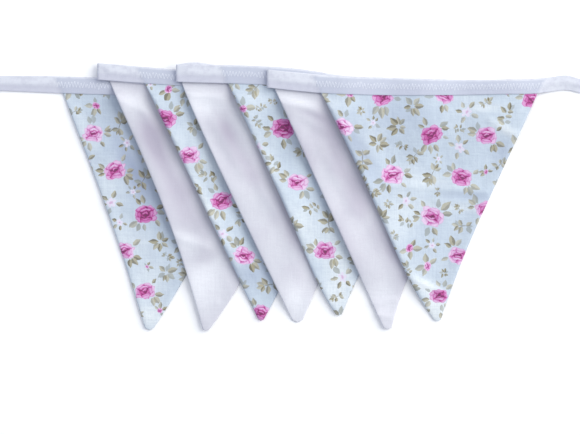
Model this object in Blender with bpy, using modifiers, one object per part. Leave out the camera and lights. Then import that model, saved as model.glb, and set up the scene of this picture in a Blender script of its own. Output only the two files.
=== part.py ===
"""A string of seven fabric pennants sewn into one folded tape, laid flat and gathered.

Run it with: blender --background --python part.py

Units are metres and +Z is up. The bunting lies on the plane z = 0 with its tape along X and its
points towards -Y, as seen from above. The tape is one strip, folded lengthwise over the tops of
the pennants, and it runs back and forth: right along the first pennant, back left along the
second, and so on, so that each pennant lies on the one before it, a step further right.
"""
import math
from typing import NamedTuple

import bmesh
import bpy
import numpy as np
from mathutils import Vector
from mathutils.geometry import delaunay_2d_cdt

OBJECT_NAME = "fabric_bunting"

# Thicknesses
CLOTH = 0.0010
PRESSED_CLOTH = 0.0006
LEAF = 0.0005
SLACK = 0.0003
AIR = 0.0004
CLOSED_SLOT = 0.0004
OPEN_SLOT = PRESSED_CLOTH + 2 * SLACK
TAPE = OPEN_SLOT + 2 * LEAF
TAPE_PITCH = TAPE + AIR
CLOTH_PITCH = CLOTH + AIR
TURN_REACH = TAPE_PITCH / 2 + CLOSED_SLOT / 2 + LEAF

# How the layers come down past the edge of what they lie on
EDGE_MARGIN = 0.002
TAPE_SHELF = 0.009
TAPE_FALL = 0.045
CLOTH_FALL = 0.023
MOUTH_FALL = 0.012

# How the loose left side of a pennant stands off what it lies on
LIFT = 0.0046
LIFT_WIDTH = 0.019
LIFT_POWER = 1.5
LIFT_WAVES = ((0.085, 0.22, 1.0), (0.047, 0.13, 2.0))
LIFT_PHASE = 2.1
LIFT_LEFT_AT_TIP = 0.25
LOWERED_FROM = 0.50
COVER_MARGIN = 0.001
COVER_FALL = 0.010

# How a pennant's top sits in the tape
SEAM_SLANT = 0.0055
TURN_ROOM = 0.005
CREST_ROOM = 0.0016
MOUTH_ROW = 0.001
SLOT_RAMP = 0.0025

# How finely the sheets are divided
STEP = 0.009
ROW_STEP = STEP * math.sqrt(3) / 2
EDGE_CLEARANCE = 0.45 * STEP
TURN_STEPS = 4
SAME_POINT = 1e-7
FILL_INSIDE = 1


class Station(NamedTuple):
    """A place along the tape: the middle of its width, and the width."""

    x: float
    y: float
    width: float


class Pennant(NamedTuple):
    """A pennant: its corners at the tape's lower edge, its tip, and how far its sides bow out."""

    name: str
    cloth: str
    left: float
    right: float
    tip_x: float
    tip_y: float
    tip_width: float
    left_bow: float
    left_bow_at: float
    right_bow: float
    right_bow_at: float


# One row of stations for each run of the tape, from the bottom of the pile to the top
TAPE_RUNS = (
    (
        Station(-0.2583, 0.0934, 0.0121),
        Station(-0.2378, 0.0932, 0.0123),
        Station(-0.1861, 0.0919, 0.0139),
        Station(-0.1451, 0.0906, 0.0139),
        Station(-0.0574, 0.0873, 0.0136),
        Station(0.0377, 0.0836, 0.0134),
    ),
    (
        Station(0.0377, 0.0836, 0.0134),
        Station(-0.0615, 0.0930, 0.0134),
        Station(-0.1578, 0.1027, 0.0136),
    ),
    (
        Station(-0.1578, 0.1027, 0.0136),
        Station(-0.0931, 0.0977, 0.0131),
        Station(0.0082, 0.0918, 0.0134),
        Station(0.0992, 0.0890, 0.0131),
    ),
    (
        Station(0.0992, 0.0890, 0.0131),
        Station(0.0082, 0.0943, 0.0134),
        Station(-0.0533, 0.0996, 0.0134),
        Station(-0.0804, 0.1030, 0.0136),
        Station(-0.0931, 0.1009, 0.0141),
    ),
    (
        Station(-0.0931, 0.1009, 0.0141),
        Station(-0.0738, 0.1004, 0.0143),
        Station(-0.0410, 0.0997, 0.0150),
        Station(0.0082, 0.0968, 0.0148),
        Station(0.0492, 0.0910, 0.0141),
        Station(0.0902, 0.0894, 0.0136),
        Station(0.1738, 0.0894, 0.0123),
    ),
    (
        Station(0.1738, 0.0894, 0.0123),
        Station(0.0902, 0.0898, 0.0131),
        Station(0.0328, 0.0922, 0.0139),
        Station(-0.0189, 0.0963, 0.0148),
    ),
    (
        Station(-0.0189, 0.0963, 0.0148),
        Station(0.0246, 0.0917, 0.0144),
        Station(0.0779, 0.0900, 0.0143),
        Station(0.1312, 0.0895, 0.0128),
        Station(0.1722, 0.0900, 0.0120),
        Station(0.2025, 0.0909, 0.0121),
        Station(0.2157, 0.0925, 0.0118),
        Station(0.2263, 0.0937, 0.0120),
        Station(0.2378, 0.0912, 0.0115),
        Station(0.2583, 0.0890, 0.0115),
    ),
)

PENNANTS = (
    Pennant(
        "pennant_1", "floral", left=-0.1859, right=-0.0090, tip_x=-0.1152, tip_y=-0.1091, tip_width=0.0074,
        left_bow=-0.0026, left_bow_at=0.55, right_bow=0.0026, right_bow_at=0.75,
    ),
    Pennant(
        "pennant_2", "white", left=-0.1476, right=0.0287, tip_x=-0.0689, tip_y=-0.1099, tip_width=0.0052,
        left_bow=-0.0056, left_bow_at=0.55, right_bow=0.0062, right_bow_at=0.75,
    ),
    Pennant(
        "pennant_3", "floral", left=-0.1187, right=0.0582, tip_x=-0.0238, tip_y=-0.1014, tip_width=0.0045,
        left_bow=0.0, left_bow_at=0.50, right_bow=0.0025, right_bow_at=0.80,
    ),
    Pennant(
        "pennant_4", "white", left=-0.0885, right=0.0886, tip_x=0.0061, tip_y=-0.1029, tip_width=0.0088,
        left_bow=0.0024, left_bow_at=0.30, right_bow=0.0, right_bow_at=0.50,
    ),
    Pennant(
        "pennant_5", "floral", left=-0.0507, right=0.1268, tip_x=0.0398, tip_y=-0.0972, tip_width=0.0052,
        left_bow=0.0026, left_bow_at=0.85, right_bow=-0.0010, right_bow_at=0.80,
    ),
    Pennant(
        "pennant_6", "white", left=-0.0127, right=0.1648, tip_x=0.0797, tip_y=-0.1087, tip_width=0.0066,
        left_bow=0.0, left_bow_at=0.50, right_bow=-0.0041, right_bow_at=0.75,
    ),
    Pennant(
        "pennant_7", "floral", left=0.0252, right=0.2026, tip_x=0.1207, tip_y=-0.1020, tip_width=0.0057,
        left_bow=0.0040, left_bow_at=0.80, right_bow=-0.0034, right_bow_at=0.65,
    ),
)

CLOTH_COLOURS = {"floral": (0.66, 0.77, 0.84), "white": (0.90, 0.90, 0.93)}
TAPE_COLOUR = (0.88, 0.89, 0.94)
CLOTH_ROUGHNESS = 0.85


def clear_scene():
    """Remove every object that the new file starts with."""
    for item in list(bpy.data.objects):
        bpy.data.objects.remove(item, do_unlink=True)


def cloth_material(name, colour):
    """A plain woven finish in one colour."""
    material = bpy.data.materials.new(name)
    material.use_nodes = True
    shader = material.node_tree.nodes["Principled BSDF"]
    shader.inputs["Base Color"].default_value = (*colour, 1.0)
    shader.inputs["Roughness"].default_value = CLOTH_ROUGHNESS
    shader.inputs["Metallic"].default_value = 0.0
    return material


def through(xs, ys, x):
    """Height at x of the smooth curve through the points xs, ys."""
    slopes = np.gradient(ys, xs)
    span = np.clip(np.searchsorted(xs, x) - 1, 0, len(xs) - 2)
    length = xs[span + 1] - xs[span]
    t = (x - xs[span]) / length
    start = (1 + 2 * t) * (1 - t) ** 2 * ys[span] + t * (1 - t) ** 2 * length * slopes[span]
    finish = t**2 * (3 - 2 * t) * ys[span + 1] + t**2 * (t - 1) * length * slopes[span + 1]
    return start + finish


def fade(distance, margin, fall):
    """1 as far as the margin, then smoothly down to 0 over the fall."""
    t = np.clip((distance - margin) / fall, 0.0, 1.0)
    return 1.0 - t * t * (3.0 - 2.0 * t)


class Run:
    """One run of the tape, between its two ends or turns."""

    def __init__(self, stations, pennant):
        rows = sorted(stations)
        self.xs = np.array([row.x for row in rows])
        self.ys = np.array([row.y for row in rows])
        self.widths = np.array([row.width for row in rows])
        self.low = self.xs[0]
        self.high = self.xs[-1]
        self.goes_right = stations[0].x < stations[-1].x
        self.left_top = max(pennant.left - SEAM_SLANT, self.low + TURN_ROOM)
        self.right_top = min(pennant.right + SEAM_SLANT, self.high - TURN_ROOM)
        self.held_from = min(pennant.left, self.left_top) - SLACK
        self.held_to = max(pennant.right, self.right_top) + SLACK

    def middle(self, x):
        """Where the middle of the tape's width lies at x."""
        return through(self.xs, self.ys, x)

    def width(self, x):
        """The tape's folded width at x."""
        return through(self.xs, self.widths, x)

    def outside(self, x, y, shelf):
        """Distance from a point to the tape, which is a shelf wider along each long edge."""
        nearest = np.clip(x, self.low, self.high)
        beside = np.abs(y - self.middle(nearest)) - self.width(nearest) / 2 - shelf
        return np.hypot(x - nearest, np.maximum(beside, 0.0))

    def slot(self, x):
        """Height of the space between the tape's two leaves, open where it holds the pennant."""
        away = np.maximum(np.maximum(self.held_from - x, x - self.held_to), 0.0)
        return CLOSED_SLOT + (OPEN_SLOT - CLOSED_SLOT) * fade(away, 0.0, SLOT_RAMP)

    def half_thickness(self, x):
        """Half the folded tape's thickness at x."""
        return LEAF + self.slot(x) / 2


def side_points(top, bottom, bow, bow_at, outward):
    """Points down one slanting side of a pennant, without its two ends."""
    count = round((bottom - top).length / STEP)
    power = math.log(0.5) / math.log(bow_at)
    points = []
    for index in range(1, count):
        t = index / count
        points.append(top.lerp(bottom, t) + outward * bow * math.sin(math.pi * t**power))
    return points


def seam_stations(low, high):
    """The places between low and high that the tape and the pennants' tops share."""
    first = math.ceil((low + EDGE_CLEARANCE) / STEP)
    last = math.floor((high - EDGE_CLEARANCE) / STEP)
    return [index * STEP for index in range(first, last + 1)]


def pennant_outline(pennant, run):
    """The pennant's edge, anticlockwise from its left corner, with its top inside the tape."""
    def on_tape(x, across):
        place = np.array(x)
        return Vector((x, float(run.middle(place) + across * run.width(place) / 2)))

    left = on_tape(pennant.left, -1)
    right = on_tape(pennant.right, -1)
    half_tip = pennant.tip_width / 2
    tip_left = Vector((pennant.tip_x - half_tip, pennant.tip_y + half_tip / 2))
    tip_right = Vector((pennant.tip_x + half_tip, pennant.tip_y + half_tip / 2))
    tip = Vector((pennant.tip_x, pennant.tip_y))
    outline = [left]
    outline += side_points(left, tip_left, pennant.left_bow, pennant.left_bow_at, Vector((-1, 0)))
    outline += [tip_left, tip, tip_right]
    right_side = side_points(right, tip_right, pennant.right_bow, pennant.right_bow_at, Vector((1, 0)))
    outline += reversed(right_side)
    outline.append(right)
    top_places = [run.left_top, *seam_stations(run.left_top, run.right_top), run.right_top]
    for place in reversed(top_places):
        outline.append(on_tape(place, 1) - Vector((0, CREST_ROOM)))
    return np.array([tuple(point) for point in outline])


def to_steps(start, finish, x, y):
    """Distance from each point to the nearest of the straight steps from start to finish."""
    edge = finish - start
    px = x[:, None] - start[:, 0]
    py = y[:, None] - start[:, 1]
    t = np.clip((px * edge[:, 0] + py * edge[:, 1]) / (edge**2).sum(axis=1), 0.0, 1.0)
    return np.hypot(px - t * edge[:, 0], py - t * edge[:, 1]).min(axis=1)


def outside_outline(outline, x, y):
    """Distance from each point to the edge of a closed outline, and which points are inside."""
    following = np.roll(outline, -1, axis=0)
    edge = following - outline
    straddles = (outline[:, 1] > y[:, None]) != (following[:, 1] > y[:, None])
    rise = np.where(edge[:, 1] == 0.0, 1.0, edge[:, 1])
    crosses = straddles & (x[:, None] - outline[:, 0] < (y[:, None] - outline[:, 1]) / rise * edge[:, 0])
    inside = crosses.sum(axis=1) % 2 == 1
    return to_steps(outline, following, x, y), inside


class Pile:
    """The layers, bottom first: each is a run of the tape with the pennant that it holds."""

    def __init__(self):
        self.runs = [Run(stations, pennant) for stations, pennant in zip(TAPE_RUNS, PENNANTS)]
        self.outlines = [pennant_outline(pennant, run) for pennant, run in zip(PENNANTS, self.runs)]

    def room(self, layer, x, y):
        """The height that a layer takes up at each point, fading out past its edges."""
        tape = fade(self.runs[layer].outside(x, y, TAPE_SHELF), EDGE_MARGIN, TAPE_FALL)
        to_edge, inside = outside_outline(self.outlines[layer], x, y)
        cloth = fade(np.where(inside, 0.0, to_edge), EDGE_MARGIN, CLOTH_FALL)
        return TAPE_PITCH * tape + CLOTH_PITCH * cloth * (1.0 - tape)

    def base(self, layer, x, y):
        """The height of what a layer lies on."""
        x = np.atleast_1d(x).astype(float)
        y = np.atleast_1d(y).astype(float)
        total = np.zeros_like(x)
        for lower in range(layer):
            total += self.room(lower, x, y)
        return total

    def freedom(self, layer, x, y):
        """1 where nothing lies on a layer, falling to 0 under what does."""
        free = np.ones_like(x)
        for upper in range(layer + 1, len(self.runs)):
            to_edge, inside = outside_outline(self.outlines[upper], x, y)
            away = np.minimum(np.where(inside, 0.0, to_edge), self.runs[upper].outside(x, y, 0.0))
            free = np.minimum(free, 1.0 - fade(away, COVER_MARGIN, COVER_FALL))
        return free

    def lift(self, layer, x, y):
        """How far a pennant's loose left side stands off what it lies on."""
        if layer == 0:
            return np.zeros_like(x)
        outline = self.outlines[layer]
        side = outline[: outline[:, 1].argmin() + 1]
        to_side = to_steps(side[:-1], side[1:], x, y)
        down = (side[0, 1] - y) / (side[0, 1] - side[-1, 1])
        height = LIFT_LEFT_AT_TIP + (1.0 - LIFT_LEFT_AT_TIP) * fade(down, LOWERED_FROM, 1.0 - LOWERED_FROM)
        for length, share, turns in LIFT_WAVES:
            height += share * np.sin(2 * math.pi * y / length + turns * LIFT_PHASE * layer)
        return LIFT * np.maximum(height, 0.0) * np.exp(-((to_side / LIFT_WIDTH) ** LIFT_POWER))

    def tape_middle(self, layer, x, y):
        """The middle of the tape's thickness where it runs along a layer."""
        return self.base(layer, x, y) + self.runs[layer].half_thickness(x)

    def cloth_middle(self, layer, x, y):
        """The middle of the pennant's thickness, and how much of it is pressed in the tape."""
        pressed = fade(self.runs[layer].outside(x, y, 0.0), MOUTH_ROW, MOUTH_FALL)
        raised = (TAPE / 2 - CLOTH / 2) * pressed
        loose = self.lift(layer, x, y) * self.freedom(layer, x, y) * (1.0 - pressed)
        return self.base(layer, x, y) + CLOTH / 2 + raised + loose, pressed


def tape_ring(run, x):
    """The tape's section at x: how far across it and how far out each of its points lies."""
    leaf_middle = (float(run.slot(x)) + LEAF) / 2
    edge = float(run.width(x)) / 2
    crest = edge - LEAF / 2
    across = np.array([-edge, crest - leaf_middle, crest, crest - leaf_middle, -edge])
    out = np.array([-leaf_middle, -leaf_middle, 0.0, leaf_middle, leaf_middle])
    return across, out


def run_rings(pile, layer):
    """Rings of points along one run of the tape, short of its turns."""
    run = pile.runs[layer]
    low = run.low + (TURN_REACH if layer > 0 else 0.0)
    high = run.high - (TURN_REACH if layer < len(pile.runs) - 1 else 0.0)
    ramps = [run.held_from - SLOT_RAMP, run.held_from, run.held_to, run.held_to + SLOT_RAMP]
    marks = [mark for mark in ramps if low + SLACK < mark < high - SLACK]
    shared = [x for x in seam_stations(low, high) if min(abs(x - mark) for mark in marks) > SLOT_RAMP / 2]
    places = sorted([low, *marks, *shared, high], reverse=not run.goes_right)
    facing = -1.0 if run.goes_right else 1.0
    rings = []
    for x in places:
        across, out = tape_ring(run, x)
        y = float(run.middle(x)) + across
        z = pile.tape_middle(layer, np.full_like(y, x), y) + facing * out
        rings.append([(x, yy, zz) for yy, zz in zip(y, z)])
    return rings


def turn_rings(pile, layer):
    """Rings of points round the turn that leads from one run up to the next."""
    lower = pile.runs[layer]
    upper = pile.runs[layer + 1]
    way = 1.0 if lower.goes_right else -1.0
    x = lower.high - TURN_REACH if lower.goes_right else lower.low + TURN_REACH
    across, out = tape_ring(lower, x)
    rings = []
    for step in range(1, TURN_STEPS):
        share = step / TURN_STEPS
        angle = math.pi * share
        y = (1 - share) * float(lower.middle(x)) + share * float(upper.middle(x)) + across
        place = np.full_like(y, x)
        below = pile.tape_middle(layer, place, y)
        above = pile.tape_middle(layer + 1, place, y)
        radius = (above - below) / 2 + way * out
        turn_x = x + way * radius * math.sin(angle)
        turn_z = (above + below) / 2 - radius * math.cos(angle)
        rings.append(list(zip(turn_x, y, turn_z)))
    return rings


def add_sheet(name, mesh, material, thickness, collection):
    """Put a surface in the collection as a sheet of even thickness about it."""
    sheet = bpy.data.objects.new(name, mesh)
    collection.objects.link(sheet)
    mesh.materials.append(material)
    mesh.shade_smooth()
    solidify = sheet.modifiers.new("Thickness", "SOLIDIFY")
    solidify.thickness = thickness
    solidify.offset = 0.0
    return sheet


def add_tape(pile, material, collection):
    """The one strip of tape, folded lengthwise and turned back on itself at each end."""
    rings = []
    last = len(pile.runs) - 1
    for layer in range(last + 1):
        rings += run_rings(pile, layer)
        if layer < last:
            rings += turn_rings(pile, layer)
    strip = bmesh.new()
    rows = [[strip.verts.new(point) for point in ring] for ring in rings]
    for row, following in zip(rows, rows[1:]):
        for index in range(len(row) - 1):
            strip.faces.new((row[index], following[index], following[index + 1], row[index + 1]))
    mesh = bpy.data.meshes.new("tape")
    strip.to_mesh(mesh)
    strip.free()
    return add_sheet("tape", mesh, material, LEAF, collection)


def inner_points(outline, run):
    """The points inside an outline: a row at the tape's mouth, and an even lattice below it."""
    def mouth(x):
        place = np.array(x)
        return float(run.middle(place) - run.width(place) / 2) - MOUTH_ROW

    xs = seam_stations(run.low, run.high)
    points = [(x, mouth(x)) for x in xs]
    lowest = outline[:, 1].min()
    for row in range(math.ceil(lowest / ROW_STEP), math.ceil(run.ys.max() / ROW_STEP)):
        shift = STEP / 2 if row % 2 else 0.0
        y = row * ROW_STEP
        points += [(x + shift, y) for x in xs if y < mouth(x + shift) - EDGE_CLEARANCE]
    places = np.array(points)
    to_edge, inside = outside_outline(outline, places[:, 0], places[:, 1])
    return places[inside & (to_edge > EDGE_CLEARANCE)]


def add_pennant(pile, layer, material, collection):
    """One pennant, draped over the layers below it, with its top pressed inside the tape."""
    pennant = PENNANTS[layer]
    outline = pile.outlines[layer]
    run = pile.runs[layer]
    flat = [Vector(point) for point in np.vstack([outline, inner_points(outline, run)])]
    rim = [list(range(len(outline)))]
    points, _, faces, *_ = delaunay_2d_cdt(flat, [], rim, FILL_INSIDE, SAME_POINT)
    place = np.array([tuple(point) for point in points])
    height, pressed = pile.cloth_middle(layer, place[:, 0], place[:, 1])
    mesh = bpy.data.meshes.new(pennant.name)
    mesh.from_pydata([(x, y, z) for (x, y), z in zip(place, height)], [], faces)
    sheet = add_sheet(pennant.name, mesh, material, CLOTH, collection)
    full = sheet.vertex_groups.new(name="full thickness")
    for index, share in enumerate(pressed):
        full.add([index], 1.0 - float(share), "REPLACE")
    solidify = sheet.modifiers["Thickness"]
    solidify.vertex_group = full.name
    solidify.thickness_vertex_group = PRESSED_CLOTH / CLOTH
    return sheet


def build():
    """Make the tape and the seven pennants."""
    clear_scene()
    collection = bpy.data.collections.new(OBJECT_NAME)
    bpy.context.scene.collection.children.link(collection)
    cloths = {name: cloth_material(name + "_cotton", colour) for name, colour in CLOTH_COLOURS.items()}
    pile = Pile()
    add_tape(pile, cloth_material("bias_tape", TAPE_COLOUR), collection)
    for layer, pennant in enumerate(PENNANTS):
        add_pennant(pile, layer, cloths[pennant.cloth], collection)


build()
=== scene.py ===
"""Looks of a fabric bunting: printed and plain cotton pennants sewn into one folded bias tape.

The bunting lies flat on a pale table, gathered back and forth, and each pennant lies on the one
before it, a step further right. Units are metres and +Z is up. Each pennant is two layers of
cotton, sewn together and turned, so its slanting sides are rolled over a thick seam.
"""

import logging
import math
from dataclasses import dataclass, field
from enum import Enum
from typing import NamedTuple, Sequence

import bpy
import numpy as np
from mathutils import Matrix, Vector
from mathutils.geometry import delaunay_2d_cdt


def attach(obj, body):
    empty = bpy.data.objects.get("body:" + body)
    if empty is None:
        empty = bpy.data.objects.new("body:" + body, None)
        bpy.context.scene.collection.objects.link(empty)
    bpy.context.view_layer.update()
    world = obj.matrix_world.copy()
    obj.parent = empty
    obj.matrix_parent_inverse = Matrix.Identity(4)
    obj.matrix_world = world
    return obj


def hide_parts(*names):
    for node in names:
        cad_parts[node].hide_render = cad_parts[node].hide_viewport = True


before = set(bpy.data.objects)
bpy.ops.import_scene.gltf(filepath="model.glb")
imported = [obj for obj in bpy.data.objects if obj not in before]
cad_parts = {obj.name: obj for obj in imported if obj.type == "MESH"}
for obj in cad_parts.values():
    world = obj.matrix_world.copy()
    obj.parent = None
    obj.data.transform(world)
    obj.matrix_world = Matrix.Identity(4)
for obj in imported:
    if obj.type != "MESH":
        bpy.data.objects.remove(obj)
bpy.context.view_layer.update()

LOG = logging.getLogger("bunting")
BODY = "root"
MM = 0.001
PIXEL = 0.00082
SAME_PLACE = 1e-7
ON_EDGE = 1e-6
NOWHERE = 999.5
Socket = bpy.types.NodeSocket
Value = float | Sequence[float] | Socket


class Cloth(Enum):
    """The two cottons that the pennants are cut from."""

    FLORAL = "floral_cotton"
    WHITE = "white_cotton"


class Station(NamedTuple):
    """A place along the tape: the middle of its width, and the width."""

    x: float
    y: float
    width: float


class Cut(NamedTuple):
    """A pennant: its corners at the tape's lower edge, its tip, and how far its sides bow out."""

    name: str
    cloth: Cloth
    left: float
    right: float
    tip_x: float
    tip_y: float
    tip_width: float
    left_bow: float
    left_bow_at: float
    right_bow: float
    right_bow_at: float


class Crease(NamedTuple):
    """A soft ridge, or a trough where its rise is below nothing, pressed into one pennant."""

    pennant: str
    from_x: float
    from_y: float
    to_x: float
    to_y: float
    width: float
    rise: float


class Rose(NamedTuple):
    """A printed rose: where its middle is, its radius in millimetres, and how deep its pink is."""

    pennant: str
    x: float
    y: float
    radius: float
    depth: float


class PaintedLightPatch(NamedTuple):
    """A soft patch of painted light on one pennant, or of painted shade where its strength is below nothing.

    Its middle, half its size along its turn and across it, and that turn in degrees.
    """

    pennant: str
    x: float
    y: float
    along: float
    across: float
    turn: float
    strength: float


class Leaf(NamedTuple):
    """A printed leaf: where it starts, which way it points in degrees, and its length.

    Places and lengths are shares of its motif's reach.
    """

    x: float
    y: float
    heading: float
    length: float


class Petal(NamedTuple):
    """A printed petal: its middle, heading, half length and half width, in radii of its rose.

    Its depth of pink goes from heart, at the end towards the rose's middle, to rim.
    """

    x: float
    y: float
    heading: float
    length: float
    width: float
    heart: float
    rim: float


TAPE_RUNS = (
    (
        Station(-0.2583, 0.0934, 0.0121),
        Station(-0.2378, 0.0932, 0.0123),
        Station(-0.1861, 0.0919, 0.0139),
        Station(-0.1451, 0.0906, 0.0139),
        Station(-0.0574, 0.0873, 0.0136),
        Station(0.0377, 0.0836, 0.0134),
    ),
    (
        Station(0.0377, 0.0836, 0.0134),
        Station(-0.0615, 0.0930, 0.0134),
        Station(-0.1578, 0.1027, 0.0136),
    ),
    (
        Station(-0.1578, 0.1027, 0.0136),
        Station(-0.0931, 0.0977, 0.0131),
        Station(0.0082, 0.0918, 0.0134),
        Station(0.0992, 0.0890, 0.0131),
    ),
    (
        Station(0.0992, 0.0890, 0.0131),
        Station(0.0082, 0.0943, 0.0134),
        Station(-0.0533, 0.0996, 0.0134),
        Station(-0.0804, 0.1030, 0.0136),
        Station(-0.0931, 0.1009, 0.0141),
    ),
    (
        Station(-0.0931, 0.1009, 0.0141),
        Station(-0.0738, 0.1004, 0.0143),
        Station(-0.0410, 0.0997, 0.0150),
        Station(0.0082, 0.0968, 0.0148),
        Station(0.0492, 0.0910, 0.0141),
        Station(0.0902, 0.0894, 0.0136),
        Station(0.1738, 0.0894, 0.0123),
    ),
    (
        Station(0.1738, 0.0894, 0.0123),
        Station(0.0902, 0.0898, 0.0131),
        Station(0.0328, 0.0922, 0.0139),
        Station(-0.0189, 0.0963, 0.0148),
    ),
    (
        Station(-0.0189, 0.0963, 0.0148),
        Station(0.0246, 0.0917, 0.0144),
        Station(0.0779, 0.0900, 0.0143),
        Station(0.1312, 0.0895, 0.0128),
        Station(0.1722, 0.0900, 0.0120),
        Station(0.2025, 0.0909, 0.0121),
        Station(0.2157, 0.0925, 0.0118),
        Station(0.2263, 0.0937, 0.0120),
        Station(0.2378, 0.0912, 0.0115),
        Station(0.2583, 0.0890, 0.0115),
    ),
)

CUTS = (
    Cut(
        "pennant_1", Cloth.FLORAL, left=-0.1859, right=-0.0090, tip_x=-0.1152, tip_y=-0.1091,
        tip_width=0.0074, left_bow=-0.0026, left_bow_at=0.55, right_bow=0.0026, right_bow_at=0.75,
    ),
    Cut(
        "pennant_2", Cloth.WHITE, left=-0.1476, right=0.0287, tip_x=-0.0689, tip_y=-0.1099,
        tip_width=0.0052, left_bow=-0.0056, left_bow_at=0.55, right_bow=0.0062, right_bow_at=0.75,
    ),
    Cut(
        "pennant_3", Cloth.FLORAL, left=-0.1187, right=0.0582, tip_x=-0.0238, tip_y=-0.1014,
        tip_width=0.0045, left_bow=0.0, left_bow_at=0.50, right_bow=0.0025, right_bow_at=0.80,
    ),
    Cut(
        "pennant_4", Cloth.WHITE, left=-0.0885, right=0.0886, tip_x=0.0061, tip_y=-0.1029,
        tip_width=0.0088, left_bow=0.0024, left_bow_at=0.30, right_bow=0.0, right_bow_at=0.50,
    ),
    Cut(
        "pennant_5", Cloth.FLORAL, left=-0.0507, right=0.1268, tip_x=0.0398, tip_y=-0.0972,
        tip_width=0.0052, left_bow=0.0026, left_bow_at=0.85, right_bow=-0.0010, right_bow_at=0.80,
    ),
    Cut(
        "pennant_6", Cloth.WHITE, left=-0.0127, right=0.1648, tip_x=0.0797, tip_y=-0.1087,
        tip_width=0.0066, left_bow=0.0, left_bow_at=0.50, right_bow=-0.0041, right_bow_at=0.75,
    ),
    Cut(
        "pennant_7", Cloth.FLORAL, left=0.0252, right=0.2026, tip_x=0.1207, tip_y=-0.1020,
        tip_width=0.0057, left_bow=0.0040, left_bow_at=0.80, right_bow=-0.0034, right_bow_at=0.65,
    ),
)

CREASES = (
    Crease("pennant_1", -0.160, 0.070, -0.146, 0.030, width=0.0090, rise=0.0007),
    Crease("pennant_1", -0.150, -0.006, -0.112, -0.012, width=0.0040, rise=0.0005),
    Crease("pennant_2", -0.140, 0.079, -0.106, 0.066, width=0.0045, rise=0.0012),
    Crease("pennant_2", -0.124, 0.050, -0.104, 0.004, width=0.0060, rise=0.0011),
    Crease("pennant_2", -0.100, -0.030, -0.070, -0.040, width=0.0045, rise=0.0011),
    Crease("pennant_2", -0.080, -0.094, -0.060, -0.086, width=0.0026, rise=0.0006),
    Crease("pennant_3", -0.090, 0.004, -0.058, -0.022, width=0.0040, rise=0.0008),
    Crease("pennant_4", -0.080, 0.084, -0.046, 0.079, width=0.0045, rise=0.0011),
    Crease("pennant_4", -0.062, 0.062, -0.040, 0.022, width=0.0055, rise=0.0012),
    Crease("pennant_4", -0.040, 0.060, -0.022, 0.026, width=0.0050, rise=0.0009),
    Crease("pennant_4", -0.024, 0.008, 0.002, -0.024, width=0.0060, rise=0.0008),
    Crease("pennant_5", -0.020, 0.020, 0.010, -0.008, width=0.0050, rise=0.0007),
    Crease("pennant_6", -0.008, 0.080, 0.030, 0.067, width=0.0040, rise=0.0012),
    Crease("pennant_6", 0.002, 0.070, 0.026, 0.056, width=0.0040, rise=0.0007),
    Crease("pennant_6", 0.026, 0.040, 0.052, -0.010, width=0.0060, rise=0.0009),
    Crease("pennant_6", 0.064, -0.088, 0.086, -0.084, width=0.0025, rise=0.0009),
    Crease("pennant_6", 0.068, -0.096, 0.084, -0.099, width=0.0022, rise=0.0008),
    Crease("pennant_7", 0.062, 0.044, 0.082, 0.010, width=0.0050, rise=0.0005),
    Crease("pennant_7", 0.078, 0.010, 0.160, 0.004, width=0.0030, rise=0.0008),
    Crease("pennant_7", 0.118, -0.003, 0.172, -0.006, width=0.0028, rise=0.0009),
    Crease("pennant_7", 0.097, -0.065, 0.124, -0.078, width=0.0026, rise=0.0014),
    Crease("pennant_7", 0.164, 0.062, 0.186, 0.050, width=0.0030, rise=0.0009),
    Crease("pennant_7", 0.150, 0.080, 0.172, 0.076, width=0.0026, rise=0.0008),
    Crease("pennant_7", 0.190, 0.083, 0.187, 0.070, width=0.0026, rise=0.0006),
)

# Painted light on each pennant, and painted shade where the strength is below nothing, in soft areas.
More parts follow.
